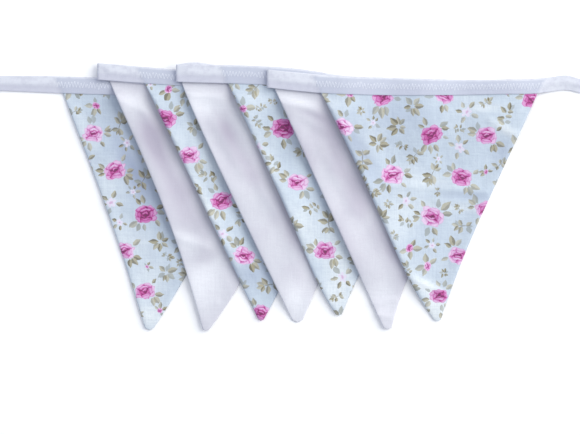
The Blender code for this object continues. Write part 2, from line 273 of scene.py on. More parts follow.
PAINTED_LIGHT_PATCHES = (
    PaintedLightPatch("pennant_1", -0.168, 0.055, 0.020, 0.010, -60, 0.35),
    PaintedLightPatch("pennant_1", -0.127, 0.020, 0.038, 0.010, -62, -0.95),
    PaintedLightPatch("pennant_1", -0.131, -0.035, 0.020, 0.015, 0, 0.35),
    PaintedLightPatch("pennant_1", -0.115, -0.066, 0.018, 0.014, 0, 0.45),
    PaintedLightPatch("pennant_1", -0.114, -0.098, 0.016, 0.012, 0, 0.85),
    PaintedLightPatch("pennant_2", -0.131, 0.077, 0.025, 0.010, -25, 0.60),
    PaintedLightPatch("pennant_2", -0.128, 0.036, 0.035, 0.006, -64, 0.65),
    PaintedLightPatch("pennant_2", -0.113, 0.051, 0.020, 0.008, -70, -0.90),
    PaintedLightPatch("pennant_2", -0.100, 0.020, 0.042, 0.009, -62, -0.70),
    PaintedLightPatch("pennant_2", -0.110, -0.015, 0.028, 0.006, -64, 0.40),
    PaintedLightPatch("pennant_2", -0.085, -0.036, 0.011, 0.007, -20, 0.75),
    PaintedLightPatch("pennant_2", -0.069, -0.049, 0.010, 0.006, 20, -0.60),
    PaintedLightPatch("pennant_2", -0.074, -0.072, 0.032, 0.020, 60, 0.80),
    PaintedLightPatch("pennant_3", -0.090, 0.026, 0.018, 0.008, -60, 0.55),
    PaintedLightPatch("pennant_3", -0.072, -0.006, 0.022, 0.007, -58, 0.90),
    PaintedLightPatch("pennant_3", -0.048, -0.035, 0.018, 0.007, -60, 0.15),
    PaintedLightPatch("pennant_3", -0.030, -0.062, 0.014, 0.012, 0, -0.50),
    PaintedLightPatch("pennant_4", -0.070, 0.077, 0.030, 0.013, -10, 0.75),
    PaintedLightPatch("pennant_4", -0.068, 0.042, 0.030, 0.007, -64, 0.50),
    PaintedLightPatch("pennant_4", -0.052, 0.055, 0.016, 0.006, -64, -0.95),
    PaintedLightPatch("pennant_4", -0.034, 0.058, 0.014, 0.006, -60, 0.60),
    PaintedLightPatch("pennant_4", -0.037, 0.026, 0.022, 0.006, -58, -0.60),
    PaintedLightPatch("pennant_4", -0.030, -0.002, 0.040, 0.009, -62, 0.20),
    PaintedLightPatch("pennant_4", -0.008, -0.005, 0.014, 0.005, -55, -0.35),
    PaintedLightPatch("pennant_4", 0.003, -0.034, 0.022, 0.006, -62, -0.30),
    PaintedLightPatch("pennant_4", 0.006, -0.086, 0.020, 0.015, 90, 0.80),
    PaintedLightPatch("pennant_5", -0.022, 0.030, 0.020, 0.009, -60, 0.55),
    PaintedLightPatch("pennant_5", 0.010, -0.018, 0.026, 0.010, -60, 0.35),
    PaintedLightPatch("pennant_5", 0.038, -0.048, 0.018, 0.014, -60, 0.60),
    PaintedLightPatch("pennant_5", 0.040, -0.078, 0.018, 0.013, 90, 0.80),
    PaintedLightPatch("pennant_6", 0.006, 0.078, 0.020, 0.006, -15, 0.80),
    PaintedLightPatch("pennant_6", 0.014, 0.069, 0.020, 0.004, -20, -0.50),
    PaintedLightPatch("pennant_6", 0.020, 0.040, 0.030, 0.007, -62, 0.20),
    PaintedLightPatch("pennant_6", 0.034, 0.052, 0.020, 0.007, -62, -0.55),
    PaintedLightPatch("pennant_6", 0.047, 0.016, 0.035, 0.009, -62, -0.60),
    PaintedLightPatch("pennant_6", 0.050, -0.022, 0.036, 0.009, -62, 0.35),
    PaintedLightPatch("pennant_6", 0.082, -0.043, 0.020, 0.007, -62, -0.50),
    PaintedLightPatch("pennant_6", 0.078, -0.088, 0.022, 0.015, 90, 0.70),
    PaintedLightPatch("pennant_7", 0.048, 0.052, 0.020, 0.008, -60, -0.45),
    PaintedLightPatch("pennant_7", 0.064, 0.026, 0.024, 0.009, -58, -0.40),
    PaintedLightPatch("pennant_7", 0.088, 0.068, 0.030, 0.014, 0, -0.35),
    PaintedLightPatch("pennant_7", 0.084, -0.012, 0.024, 0.010, -60, 0.05),
    PaintedLightPatch("pennant_7", 0.094, -0.040, 0.020, 0.008, -60, -0.05),
    PaintedLightPatch("pennant_7", 0.115, 0.012, 0.030, 0.007, -8, 0.40),
    PaintedLightPatch("pennant_7", 0.148, 0.001, 0.028, 0.005, -4, -0.45),
    PaintedLightPatch("pennant_7", 0.146, -0.008, 0.028, 0.004, -4, 0.50),
    PaintedLightPatch("pennant_7", 0.174, 0.036, 0.014, 0.010, -64, -0.40),
    PaintedLightPatch("pennant_7", 0.176, 0.055, 0.014, 0.004, -30, 0.80),
    PaintedLightPatch("pennant_7", 0.159, 0.073, 0.016, 0.004, 0, 0.60),
    PaintedLightPatch("pennant_7", 0.111, -0.073, 0.013, 0.005, -28, 1.00),
    PaintedLightPatch("pennant_7", 0.119, -0.094, 0.013, 0.011, 90, 1.20),
)

ROSES = (
    Rose("pennant_1", -0.161, 0.052, radius=8.2, depth=0.25),
    Rose("pennant_1", -0.143, 0.022, radius=8.6, depth=0.60),
    Rose("pennant_1", -0.118, -0.014, radius=8.8, depth=1.00),
    Rose("pennant_1", -0.136, -0.044, radius=8.0, depth=0.45),
    Rose("pennant_1", -0.119, -0.077, radius=7.8, depth=0.60),
    Rose("pennant_3", -0.102, 0.064, radius=8.6, depth=0.80),
    Rose("pennant_3", -0.082, 0.034, radius=8.4, depth=0.35),
    Rose("pennant_3", -0.056, -0.003, radius=8.6, depth=0.75),
    Rose("pennant_3", -0.038, -0.048, radius=8.2, depth=0.40),
    Rose("pennant_3", -0.023, -0.095, radius=7.6, depth=0.70),
    Rose("pennant_5", -0.006, 0.056, radius=9.4, depth=1.00),
    Rose("pennant_5", 0.006, 0.012, radius=8.2, depth=0.30),
    Rose("pennant_5", 0.029, -0.044, radius=8.4, depth=0.60),
    Rose("pennant_7", 0.043, 0.057, radius=7.8, depth=0.15),
    Rose("pennant_7", 0.076, 0.082, radius=8.4, depth=0.80),
    Rose("pennant_7", 0.126, 0.083, radius=7.6, depth=0.60),
    Rose("pennant_7", 0.199, 0.079, radius=8.0, depth=0.90),
    Rose("pennant_7", 0.116, 0.051, radius=8.4, depth=1.00),
    Rose("pennant_7", 0.161, 0.050, radius=8.2, depth=0.50),
    Rose("pennant_7", 0.084, 0.018, radius=9.0, depth=0.30),
    Rose("pennant_7", 0.141, 0.016, radius=8.4, depth=0.75),
    Rose("pennant_7", 0.116, -0.016, radius=9.2, depth=0.25),
    Rose("pennant_7", 0.160, -0.010, radius=8.0, depth=0.50),
    Rose("pennant_7", 0.138, -0.048, radius=8.0, depth=0.35),
    Rose("pennant_7", 0.122, -0.081, radius=7.0, depth=0.80),
)


BRANCH = (
    Leaf(-0.53, 0.03, 128, 0.80),
    Leaf(-0.46, -0.03, 224, 0.73),
    Leaf(-0.06, 0.04, 64, 0.80),
    Leaf(0.00, -0.03, -60, 0.76),
    Leaf(0.29, 0.03, 42, 0.71),
    Leaf(0.29, -0.03, -38, 0.68),
    Leaf(0.32, 0.00, 2, 0.83),
    Leaf(-0.63, 0.00, 178, 0.47),
)
CLUSTER = (
    Leaf(-0.06, 0.11, 102, 0.92),
    Leaf(0.09, 0.06, 50, 0.85),
    Leaf(-0.17, 0.02, 152, 0.81),
    Leaf(0.13, -0.06, 6, 0.83),
    Leaf(-0.13, -0.11, 208, 0.76),
    Leaf(0.00, -0.17, -78, 0.69),
    Leaf(0.15, -0.13, -36, 0.67),
)
ARCH = (
    Leaf(-0.79, -0.33, 92, 0.70),
    Leaf(-0.61, -0.20, -48, 0.65),
    Leaf(-0.35, 0.04, 132, 0.78),
    Leaf(-0.18, 0.09, -70, 0.70),
    Leaf(0.09, 0.20, 84, 0.75),
    Leaf(0.22, 0.18, -44, 0.72),
    Leaf(0.42, 0.13, 34, 0.75),
    Leaf(0.46, 0.07, -14, 0.72),
)
SPRAY = (
    Leaf(0.34, 0.21, 34, 0.76),
    Leaf(-0.39, 0.16, 152, 0.71),
    Leaf(-0.07, 0.39, 98, 0.67),
    Leaf(0.28, -0.32, -46, 0.74),
    Leaf(-0.34, -0.30, 214, 0.67),
)
BUD_LEAVES = (
    Leaf(-0.17, -0.14, 204, 0.92),
    Leaf(0.05, -0.24, -66, 0.85),
    Leaf(-0.19, 0.14, 138, 0.71),
    Leaf(0.19, -0.12, -16, 0.69),
)
POSIES = (
    (
        Leaf(-0.36, 0.46, 88, 0.53),
        Leaf(-0.44, 0.41, 126, 0.59),
        Leaf(-0.54, 0.31, 164, 0.51),
        Leaf(0.51, -0.28, -64, 0.49),
        Leaf(0.59, -0.20, -24, 0.53),
        Leaf(0.61, -0.05, 12, 0.47),
        Leaf(-0.51, -0.33, 214, 0.42),
    ),
    (
        Leaf(0.46, 0.38, 26, 0.53),
        Leaf(0.33, 0.49, 66, 0.57),
        Leaf(0.13, 0.54, 104, 0.49),
        Leaf(-0.59, -0.13, 172, 0.49),
        Leaf(-0.56, -0.26, 212, 0.55),
        Leaf(0.10, -0.56, -80, 0.49),
        Leaf(0.26, -0.51, -46, 0.47),
        Leaf(-0.51, 0.33, 140, 0.38),
    ),
)

ROSE_PETALS = (
    Petal(-0.50, 0.42, 140, 0.48, 0.50, heart=0.55, rim=0.02),
    Petal(0.52, 0.40, 38, 0.48, 0.50, heart=0.60, rim=0.08),
    Petal(0.02, 0.62, 92, 0.38, 0.56, heart=0.66, rim=0.10),
    Petal(-0.64, -0.12, 188, 0.38, 0.50, heart=0.56, rim=0.00),
    Petal(0.66, -0.12, -10, 0.36, 0.50, heart=0.64, rim=0.06),
    Petal(-0.34, -0.58, -120, 0.40, 0.48, heart=0.62, rim=0.00),
    Petal(0.36, -0.58, -58, 0.40, 0.48, heart=0.66, rim=0.04),
    Petal(0.00, 0.38, 94, 0.30, 0.50, heart=0.96, rim=0.12),
    Petal(-0.40, 0.06, 172, 0.34, 0.42, heart=0.92, rim=0.10),
    Petal(0.44, 0.04, 4, 0.32, 0.42, heart=0.96, rim=0.20),
    Petal(0.02, -0.30, -90, 0.30, 0.54, heart=0.94, rim=0.02),
    Petal(-0.16, 0.14, 130, 0.26, 0.28, heart=1.00, rim=0.24),
    Petal(0.20, 0.10, 30, 0.26, 0.26, heart=1.00, rim=0.34),
    Petal(0.02, -0.04, -84, 0.20, 0.30, heart=1.00, rim=0.16),
    Petal(0.03, 0.06, 5, 0.18, 0.11, heart=1.00, rim=0.90),
)


def srgb(red: int, green: int, blue: int) -> tuple[float, float, float, float]:
    """A colour from its everyday 0 to 255 values.

    Args:
        red: Share of red.
        green: Share of green.
        blue: Share of blue.

    Returns:
        The same colour in linear light, with full cover.
    """
    def linear(level: int) -> float:
        """One share in linear light."""
        share = level / 255
        return share / 12.92 if share <= 0.04045 else ((share + 0.055) / 1.055) ** 2.4

    return linear(red), linear(green), linear(blue), 1.0


def through(xs: np.ndarray, ys: np.ndarray, x: np.ndarray) -> np.ndarray:
    """Height of a smooth curve through a few points.

    Args:
        xs: Where the points lie.
        ys: How high they are.
        x: Where the height is wanted.

    Returns:
        The curve's height at each x.
    """
    slopes = np.gradient(ys, xs)
    span = np.clip(np.searchsorted(xs, x) - 1, 0, len(xs) - 2)
    length = xs[span + 1] - xs[span]
    t = (x - xs[span]) / length
    start = (1 + 2 * t) * (1 - t) ** 2 * ys[span] + t * (1 - t) ** 2 * length * slopes[span]
    finish = t**2 * (3 - 2 * t) * ys[span + 1] + t**2 * (t - 1) * length * slopes[span + 1]
    return start + finish


def fade(distance: np.ndarray, margin: float, fall: float) -> np.ndarray:
    """1 as far as the margin, then smoothly down to 0 over the fall."""
    t = np.clip((distance - margin) / fall, 0.0, 1.0)
    return 1.0 - t * t * (3.0 - 2.0 * t)


def from_path(path: np.ndarray, x: np.ndarray, y: np.ndarray, closed: bool) -> np.ndarray:
    """Distance from each point to a path of straight steps.

    Args:
        path: The path's points, one a row.
        x: The points' places along X.
        y: The points' places along Y.
        closed: Whether the path's last point is joined to its first.

    Returns:
        The shortest distance for each point.
    """
    start = path if closed else path[:-1]
    edge = (np.roll(path, -1, axis=0) if closed else path[1:]) - start
    px = x[:, None] - start[:, 0]
    py = y[:, None] - start[:, 1]
    t = np.clip((px * edge[:, 0] + py * edge[:, 1]) / (edge**2).sum(axis=1), 0.0, 1.0)
    return np.hypot(px - t * edge[:, 0], py - t * edge[:, 1]).min(axis=1)


def inside_path(path: np.ndarray, x: np.ndarray, y: np.ndarray) -> np.ndarray:
    """Which points lie inside a closed path.

    Args:
        path: The path's points, one a row.
        x: The points' places along X.
        y: The points' places along Y.

    Returns:
        True for each point inside.
    """
    finish = np.roll(path, -1, axis=0)
    straddles = (path[:, 1] > y[:, None]) != (finish[:, 1] > y[:, None])
    rise = np.where(finish[:, 1] == path[:, 1], 1.0, finish[:, 1] - path[:, 1])
    across = (y[:, None] - path[:, 1]) / rise * (finish[:, 0] - path[:, 0])
    crosses = straddles & (x[:, None] - path[:, 0] < across)
    return crosses.sum(axis=1) % 2 == 1


def inset(outline: np.ndarray, depth: float) -> np.ndarray:
    """A closed anticlockwise path moved inwards, without the points that would crowd.

    Args:
        outline: The path's points, one a row.
        depth: How far in each point goes.

    Returns:
        The points of the new row.
    """
    before = outline - np.roll(outline, 1, axis=0)
    after = np.roll(outline, -1, axis=0) - outline
    before /= np.linalg.norm(before, axis=1)[:, None]
    after /= np.linalg.norm(after, axis=1)[:, None]
    along = before + after
    along /= np.linalg.norm(along, axis=1)[:, None]
    sharpest = 0.35
    square = np.maximum((along * before).sum(axis=1), sharpest)
    inwards = np.column_stack([-along[:, 1], along[:, 0]])
    moved = outline + inwards * (depth / square)[:, None]
    clear = from_path(outline, moved[:, 0], moved[:, 1], closed=True) > 0.9 * depth
    return moved[clear & inside_path(outline, moved[:, 0], moved[:, 1])]


def write_values(mesh: bpy.types.Mesh, name: str, values: np.ndarray, domain: str = "POINT") -> None:
    """Keep values on a mesh, where its finish reads them.

    Args:
        mesh: The mesh.
        name: What the finish calls the values.
        values: A number for each element, or a vector in the last axis.
        domain: Which elements they belong to.
    """
    kind, entry = ("FLOAT", "value") if values.ndim == 1 else ("FLOAT_VECTOR", "vector")
    layer = mesh.attributes.new(name, kind, domain)
    layer.data.foreach_set(entry, values.astype(np.float32).ravel())


def make_piece(name: str, points: list, faces: list, finish: bpy.types.Material) -> bpy.types.Object:
    """Make a smooth mesh and put it in the scene.

    Args:
        name: What the piece and its mesh are called.
        points: The places of its points.
        faces: The numbers of each face's points.
        finish: What it looks like.

    Returns:
        The new piece.
    """
    mesh = bpy.data.meshes.new(name)
    mesh.from_pydata(points, [], faces)
    mesh.shade_smooth()
    mesh.materials.append(finish)
    piece = bpy.data.objects.new(name, mesh)
    bpy.context.scene.collection.objects.link(piece)
    return piece


@dataclass(frozen=True)
class Layering:
    """Thicknesses and clearances of the pile, the same as in the plain solids."""

    cloth: float = 0.0010
    pressed_cloth: float = 0.0006
    leaf: float = 0.0005
    air: float = 0.0004
    slack: float = 0.0003
    closed_slot: float = 0.0004
    seam_slant: float = 0.0055
    turn_room: float = 0.005
    crest_room: float = 0.0016
    slot_ramp: float = 0.0025
    mouth_row: float = 0.001
    mouth_fall: float = 0.012
    edge_margin: float = 0.002
    tape_shelf: float = 0.009
    tape_fall: float = 0.045
    cloth_fall: float = 0.023
    cover_margin: float = 0.001
    cover_fall: float = 0.010

    @property
    def open_slot(self) -> float:
        """The space between the tape's leaves where they hold a pennant."""
        return self.pressed_cloth + 2 * self.slack

    @property
    def tape(self) -> float:
        """The folded tape's thickness over a pennant."""
        return self.open_slot + 2 * self.leaf

    @property
    def tape_pitch(self) -> float:
        """The height from one run of the tape to the next."""
        return self.tape + self.air

    @property
    def cloth_pitch(self) -> float:
        """The height from one pennant to the next."""
        return self.cloth + self.air

    @property
    def turn_reach(self) -> float:
        """How far the tape's outside swings out where it turns back."""
        return self.tape_pitch / 2 + self.closed_slot / 2 + self.leaf


LAYERS = Layering()


class TapeRun:
    """One run of the tape, between its two ends or turns."""

    def __init__(self, stations: Sequence[Station], cut: Cut) -> None:
        """Keep the run's stations and work out where it holds its pennant.

        Args:
            stations: The places along the run, in the direction in which it goes.
            cut: The pennant that the run holds.
        """
        rows = sorted(stations)
        self.xs = np.array([row.x for row in rows])
        self.ys = np.array([row.y for row in rows])
        self.widths = np.array([row.width for row in rows])
        self.low = float(self.xs[0])
        self.high = float(self.xs[-1])
        self.way = 1.0 if stations[0].x < stations[-1].x else -1.0
        self.left_top = max(cut.left - LAYERS.seam_slant, self.low + LAYERS.turn_room)
        self.right_top = min(cut.right + LAYERS.seam_slant, self.high - LAYERS.turn_room)
        self.held_from = min(cut.left, self.left_top) - LAYERS.slack
        self.held_to = max(cut.right, self.right_top) + LAYERS.slack

    def middle(self, x: np.ndarray) -> np.ndarray:
        """Where the middle of the tape's width lies at x."""
        return through(self.xs, self.ys, x)

    def width(self, x: np.ndarray) -> np.ndarray:
        """The tape's folded width at x."""
        return through(self.xs, self.widths, x)

    def outside(self, x: np.ndarray, y: np.ndarray, shelf: float) -> np.ndarray:
        """Distance from each point to the tape, a shelf wider along each long edge."""
        nearest = np.clip(x, self.low, self.high)
        beside = np.abs(y - self.middle(nearest)) - self.width(nearest) / 2 - shelf
        return np.hypot(x - nearest, np.maximum(beside, 0.0))

    def slot(self, x: np.ndarray) -> np.ndarray:
        """Height of the space between the tape's two leaves."""
        away = np.maximum(np.maximum(self.held_from - x, x - self.held_to), 0.0)
        opening = LAYERS.open_slot - LAYERS.closed_slot
        return LAYERS.closed_slot + opening * fade(away, 0.0, LAYERS.slot_ramp)

    def from_turn(self, x: np.ndarray) -> np.ndarray:
        """Distance along the run to its nearer end."""
        return np.minimum(x - self.low, self.high - x)


class Pile:
    """The layers, bottom first: each is a run of the tape with the pennant that it holds."""

    side_step = 0.003
    top_points = 60

    def __init__(self) -> None:
        """Lay out every run and every pennant's edge."""
        self.runs = [TapeRun(stations, cut) for stations, cut in zip(TAPE_RUNS, CUTS)]
        self.left_sides: list[np.ndarray] = []
        self.outlines: list[np.ndarray] = []
        for cut, run in zip(CUTS, self.runs):
            self.outline_pennant(cut, run)

    def side(self, top: np.ndarray, bottom: np.ndarray, bow: float, bow_at: float) -> np.ndarray:
        """Points down one slanting side of a pennant, both ends among them.

        Args:
            top: The corner at the tape.
            bottom: The side's end at the tip.
            bow: How far the side bows out along X.
            bow_at: How far down it bows the most, from 0 to 1.

        Returns:
            The points from top to bottom.
        """
        count = round(float(np.linalg.norm(bottom - top)) / self.side_step)
        t = np.linspace(0.0, 1.0, count + 1)
        points = top + (bottom - top) * t[:, None]
        points[:, 0] += bow * np.sin(math.pi * t ** (math.log(0.5) / math.log(bow_at)))
        return points

    def outline_pennant(self, cut: Cut, run: TapeRun) -> None:
        """Add a pennant's edge, anticlockwise, with its top inside the tape."""
        def on_tape(x: float, across: float) -> np.ndarray:
            """The place at x, and at a share of the tape's half width."""
            place = np.array([x])
            return np.array([x, (run.middle(place) + across * run.width(place) / 2)[0]])

        half = cut.tip_width / 2
        shoulder = cut.tip_y + half / 2
        left = self.side(
            on_tape(cut.left, -1), np.array([cut.tip_x - half, shoulder]),
            -cut.left_bow, cut.left_bow_at,
        )
        right = self.side(
            on_tape(cut.right, -1), np.array([cut.tip_x + half, shoulder]),
            cut.right_bow, cut.right_bow_at,
        )
        places = np.linspace(run.right_top, run.left_top, self.top_points)
        tops = np.array([on_tape(x, 1) - (0.0, LAYERS.crest_room) for x in places])
        tip = np.array([[cut.tip_x, cut.tip_y]])
        self.left_sides.append(left)
        self.outlines.append(np.vstack([left, tip, right[::-1], tops]))

    def from_pennant(self, layer: int, x: np.ndarray, y: np.ndarray) -> np.ndarray:
        """Distance from each point to a pennant, nothing inside it."""
        outline = self.outlines[layer]
        inside = inside_path(outline, x, y)
        return np.where(inside, 0.0, from_path(outline, x, y, closed=True))

    def room(self, layer: int, x: np.ndarray, y: np.ndarray) -> np.ndarray:
        """The height that a layer takes up at each point, fading out past its edges."""
        outside = self.runs[layer].outside(x, y, LAYERS.tape_shelf)
        tape = fade(outside, LAYERS.edge_margin, LAYERS.tape_fall)
        cloth = fade(self.from_pennant(layer, x, y), LAYERS.edge_margin, LAYERS.cloth_fall)
        return LAYERS.tape_pitch * tape + LAYERS.cloth_pitch * cloth * (1.0 - tape)

    def base(self, layer: int, x: np.ndarray, y: np.ndarray) -> np.ndarray:
        """The height of what a layer lies on."""
        total = np.zeros_like(x)
        for lower in range(layer):
            total += self.room(lower, x, y)
        return total

    def pressed(self, layer: int, x: np.ndarray, y: np.ndarray) -> np.ndarray:
        """How much of a pennant is pressed in its tape, from 0 to 1."""
        return fade(self.runs[layer].outside(x, y, 0.0), LAYERS.mouth_row, LAYERS.mouth_fall)

    def freedom(self, layer: int, x: np.ndarray, y: np.ndarray) -> np.ndarray:
        """1 where nothing lies on a layer, and 0 under what does."""
        free = np.ones_like(x)
        for upper in range(layer + 1, len(self.runs)):
            tape = self.runs[upper].outside(x, y, 0.0)
            away = np.minimum(tape, self.from_pennant(upper, x, y))
            free = np.minimum(free, 1.0 - fade(away, LAYERS.cover_margin, LAYERS.cover_fall))
        return free


class Graph:
    """A material's nodes, put together from sums written in code."""

    def __init__(self, name: str, roughness: float, sheen: float) -> None:
        """Start a material with the constants of its shader.

        Args:
            name: What the material is called.
            roughness: How matt the cloth is.
            sheen: How much light its loose fibres catch at a slant.
        """
        self.material = bpy.data.materials.new(name)
        self.material.use_nodes = True
        self.tree = self.material.node_tree
        self.shader = self.tree.nodes["Principled BSDF"]
        self.shader.inputs["Roughness"].default_value = roughness
        self.shader.inputs["Sheen Weight"].default_value = sheen
        self.shader.inputs["Sheen Roughness"].default_value = 0.45
        self.shader.inputs["Specular IOR Level"].default_value = 0.25

    def node(self, kind: str, inputs: dict[str | int, Value], **settings: object) -> bpy.types.Node:
        """Add a node.

        Args:
            kind: Blender's name for it.
            inputs: A value or another node's output for each input.
            settings: The node's own choices.

        Returns:
            The new node.
        """
        made = self.tree.nodes.new(kind)
        for key, setting in settings.items():
            setattr(made, key, setting)
        for key, value in inputs.items():
            self.plug(made.inputs[key], value)
        return made

    def plug(self, socket: Socket, value: Value) -> None:
        """Give an input a value, or link it."""
        if isinstance(value, Socket):
            self.tree.links.new(value, socket)
        else:
            socket.default_value = value

    def sum(self, operation: str, *terms: Value) -> Socket:
        """The output of one step of arithmetic, such as ADD or SINE."""
        inputs = dict(enumerate(terms))
        return self.node("ShaderNodeMath", inputs, operation=operation).outputs[0]

    def vector(self, operation: str, *terms: Value) -> Socket:
        """The output of one step of arithmetic on vectors."""
        inputs = dict(enumerate(terms))
        return self.node("ShaderNodeVectorMath", inputs, operation=operation).outputs[0]

    def split(self, vector: Socket) -> tuple[Socket, Socket, Socket]:
        """The three parts of a vector."""
        parts = self.node("ShaderNodeSeparateXYZ", {0: vector}).outputs
        return parts[0], parts[1], parts[2]

    def join(self, x: Value, y: Value, z: Value) -> Socket:
        """A vector from its three parts."""
        return self.node("ShaderNodeCombineXYZ", {0: x, 1: y, 2: z}).outputs[0]

    def attribute(self, name: str) -> bpy.types.Node:
        """The node that reads one of the mesh's own values."""
        return self.node("ShaderNodeAttribute", {}, attribute_name=name)

    def step(self, value: Value, low: Value, high: Value) -> Socket:
        """0 below low and 1 above high, with a smooth rise between."""
        inputs = {"Value": value, "From Min": low, "From Max": high}
        settings = {"interpolation_type": "SMOOTHSTEP"}
        return self.node("ShaderNodeMapRange", inputs, **settings).outputs[0]

    def spread(self, value: Value, low: float, high: float) -> Socket:
        """A value from 0 to 1 spread from low to high."""
        return self.node("ShaderNodeMapRange", {"Value": value, "To Min": low, "To Max": high}).outputs[0]

    def blend(self, share: Value, under: Value, over: Value) -> Socket:
        """The colour under, covered by the colour over as far as the share says."""
        inputs = {0: share, 6: under, 7: over}
        return self.node("ShaderNodeMix", inputs, data_type="RGBA").outputs[2]

    def cover(self, share: Value, under: Value, over: Value) -> Socket:
        """The value under, replaced by the value over as far as the share says."""
        return self.node("ShaderNodeMix", {0: share, 2: under, 3: over}, data_type="FLOAT").outputs[0]

    def ramp(self, value: Value, *colours: tuple) -> Socket:
        """The colour at a value from 0 to 1, between colours at even steps."""
        made = self.node("ShaderNodeValToRGB", {0: value})
        stops = made.color_ramp.elements
        while len(stops) < len(colours):
            stops.new(0.5)
        for index, colour in enumerate(colours):
            stops[index].position = index / (len(colours) - 1)
            stops[index].color = colour
        return made.outputs[0]

    def distance(self, x: Value, y: Value) -> Socket:
        """How far a place is from the middle."""
        return self.sum("SQRT", self.sum("MULTIPLY_ADD", x, x, self.sum("MULTIPLY", y, y)))

    def on(self, spot: Value, place: Value, turn: Value, size: Value) -> Socket:
        """A spot, seen from a shape at a place that is turned and scaled."""
        inputs = {"Vector": spot, "Location": place, "Rotation": turn, "Scale": size}
        return self.node("ShaderNodeMapping", inputs, vector_type="TEXTURE").outputs[0]

    def noise(self, where: Value, scale: float, detail: float = 2.0) -> bpy.types.Node:
        """Soft, cloudy variation with a middle of about 0.5."""
        return self.node("ShaderNodeTexNoise", {"Vector": where, "Scale": scale, "Detail": detail})

    def drift(self, where: Value, scale: float, detail: float) -> Socket:
        """A soft random shift, up to about half a unit each way."""
        cloudy = self.noise(where, scale, detail).outputs["Color"]
        return self.vector("SUBTRACT", cloudy, (0.5, 0.5, 0.5))

    def moved(self, spot: Value, shift: Value, amount: Value) -> Socket:
        """A spot, moved by some amount of a shift."""
        return self.vector("ADD", spot, self.vector("MULTIPLY", shift, amount))

    def place(self) -> Socket:
        """Where a point is on the object, in metres."""
        return self.node("ShaderNodeTexCoord", {}).outputs["Object"]

    def streaks(self, stretch: tuple[float, float, float], thread: float) -> Socket:
        """Threads of uneven thickness: noise drawn out in one direction."""
        stretched = self.vector("MULTIPLY", self.place(), stretch)
        return self.noise(stretched, 0.30 / thread).outputs[0]

    def woven(self, thread: float, depth: float, crumple: float) -> Socket:
        """Slant the surface as crossing threads and soft crumples do.

        Args:
            thread: The distance from one thread to the next.
            depth: How deep the threads are.
            crumple: How high the soft crumples are.

        Returns:
            A share from 0 to 1 that is high on top of the threads, and on thick ones.
        """
        x, y, _ = self.split(self.place())
        turns = 2 * math.pi / thread
        warp = self.sum("SINE", self.sum("MULTIPLY", x, turns))
        weft = self.sum("SINE", self.sum("MULTIPLY", y, turns))
        crossing = self.sum("MULTIPLY_ADD", self.sum("MULTIPLY", warp, weft), 0.5, 0.5)
        upright = self.streaks((1.0, 0.06, 1.0), thread)
        level = self.streaks((0.06, 1.0, 1.0), thread)
        uneven = self.sum("MULTIPLY_ADD", upright, 0.5, self.sum("MULTIPLY", level, 0.5))
        slub = self.step(uneven, 0.38, 0.60)
        threads = self.sum("ADD", slub, crossing)
        fine = self.node("ShaderNodeBump", {"Height": threads, "Distance": depth, "Strength": 0.6})
        soft = self.noise(self.place(), 55.0, 5.0)
        inputs = {"Height": soft.outputs[0], "Distance": crumple, "Normal": fine.outputs[0]}
        bump = self.node("ShaderNodeBump", inputs)
        self.plug(self.shader.inputs["Normal"], bump.outputs[0])
        return self.sum("MULTIPLY_ADD", slub, 0.6, self.sum("MULTIPLY", crossing, 0.4))

    def with_painted_light(self, base: Socket, painted_lit_colour: tuple, shaded: tuple) -> Socket:
        """The colour with soft areas of painted light and painted shade on it."""
        painted_light_and_shade = self.attribute("painted_light_and_shade").outputs["Fac"]
        base = self.blend(self.sum("MULTIPLY", painted_light_and_shade, -1.0), base, shaded)
        return self.blend(painted_light_and_shade, base, painted_lit_colour)

    def paint(self, colour: Value) -> bpy.types.Material:
        """Give the shader its colour, and hand over the finished material."""
        self.plug(self.shader.inputs["Base Color"], colour)
        return self.material


@dataclass(frozen=True)
class WhiteCotton:
    """Plain white cotton, close-woven, with a faint gloss."""

    white: tuple = srgb(205, 206, 215)
    # Painted light and painted shade: the colours of the lighter and darker soft areas; the shade also
    # darkens the weave's hollows.
    painted_light_white: tuple = srgb(234, 236, 242)
    painted_shade_lilac: tuple = srgb(178, 173, 189)
    shaded: tuple = srgb(194, 191, 204)
    thread: float = 0.00036
    weave_shade: float = 0.18

    def material(self) -> bpy.types.Material:
        """The finish as a material."""
        graph = Graph("white_cotton", roughness=0.62, sheen=0.25)
        crossing = graph.woven(self.thread, 0.00004, 0.0006)
        cloudy = graph.noise(graph.place(), 28.0).outputs[0]
        base = graph.blend(graph.step(cloudy, 0.35, 0.85), self.white, self.shaded)
        # Soft areas of painted light and painted shade.
        base = graph.with_painted_light(base, self.painted_light_white, self.painted_shade_lilac)
        # Darker between the threads and on thin ones: partly painted shade in the weave's hollows, partly the
        # yarn's uneven tone.
        return graph.paint(graph.blend(graph.spread(crossing, self.weave_shade, 0.0), base, self.painted_shade_lilac))


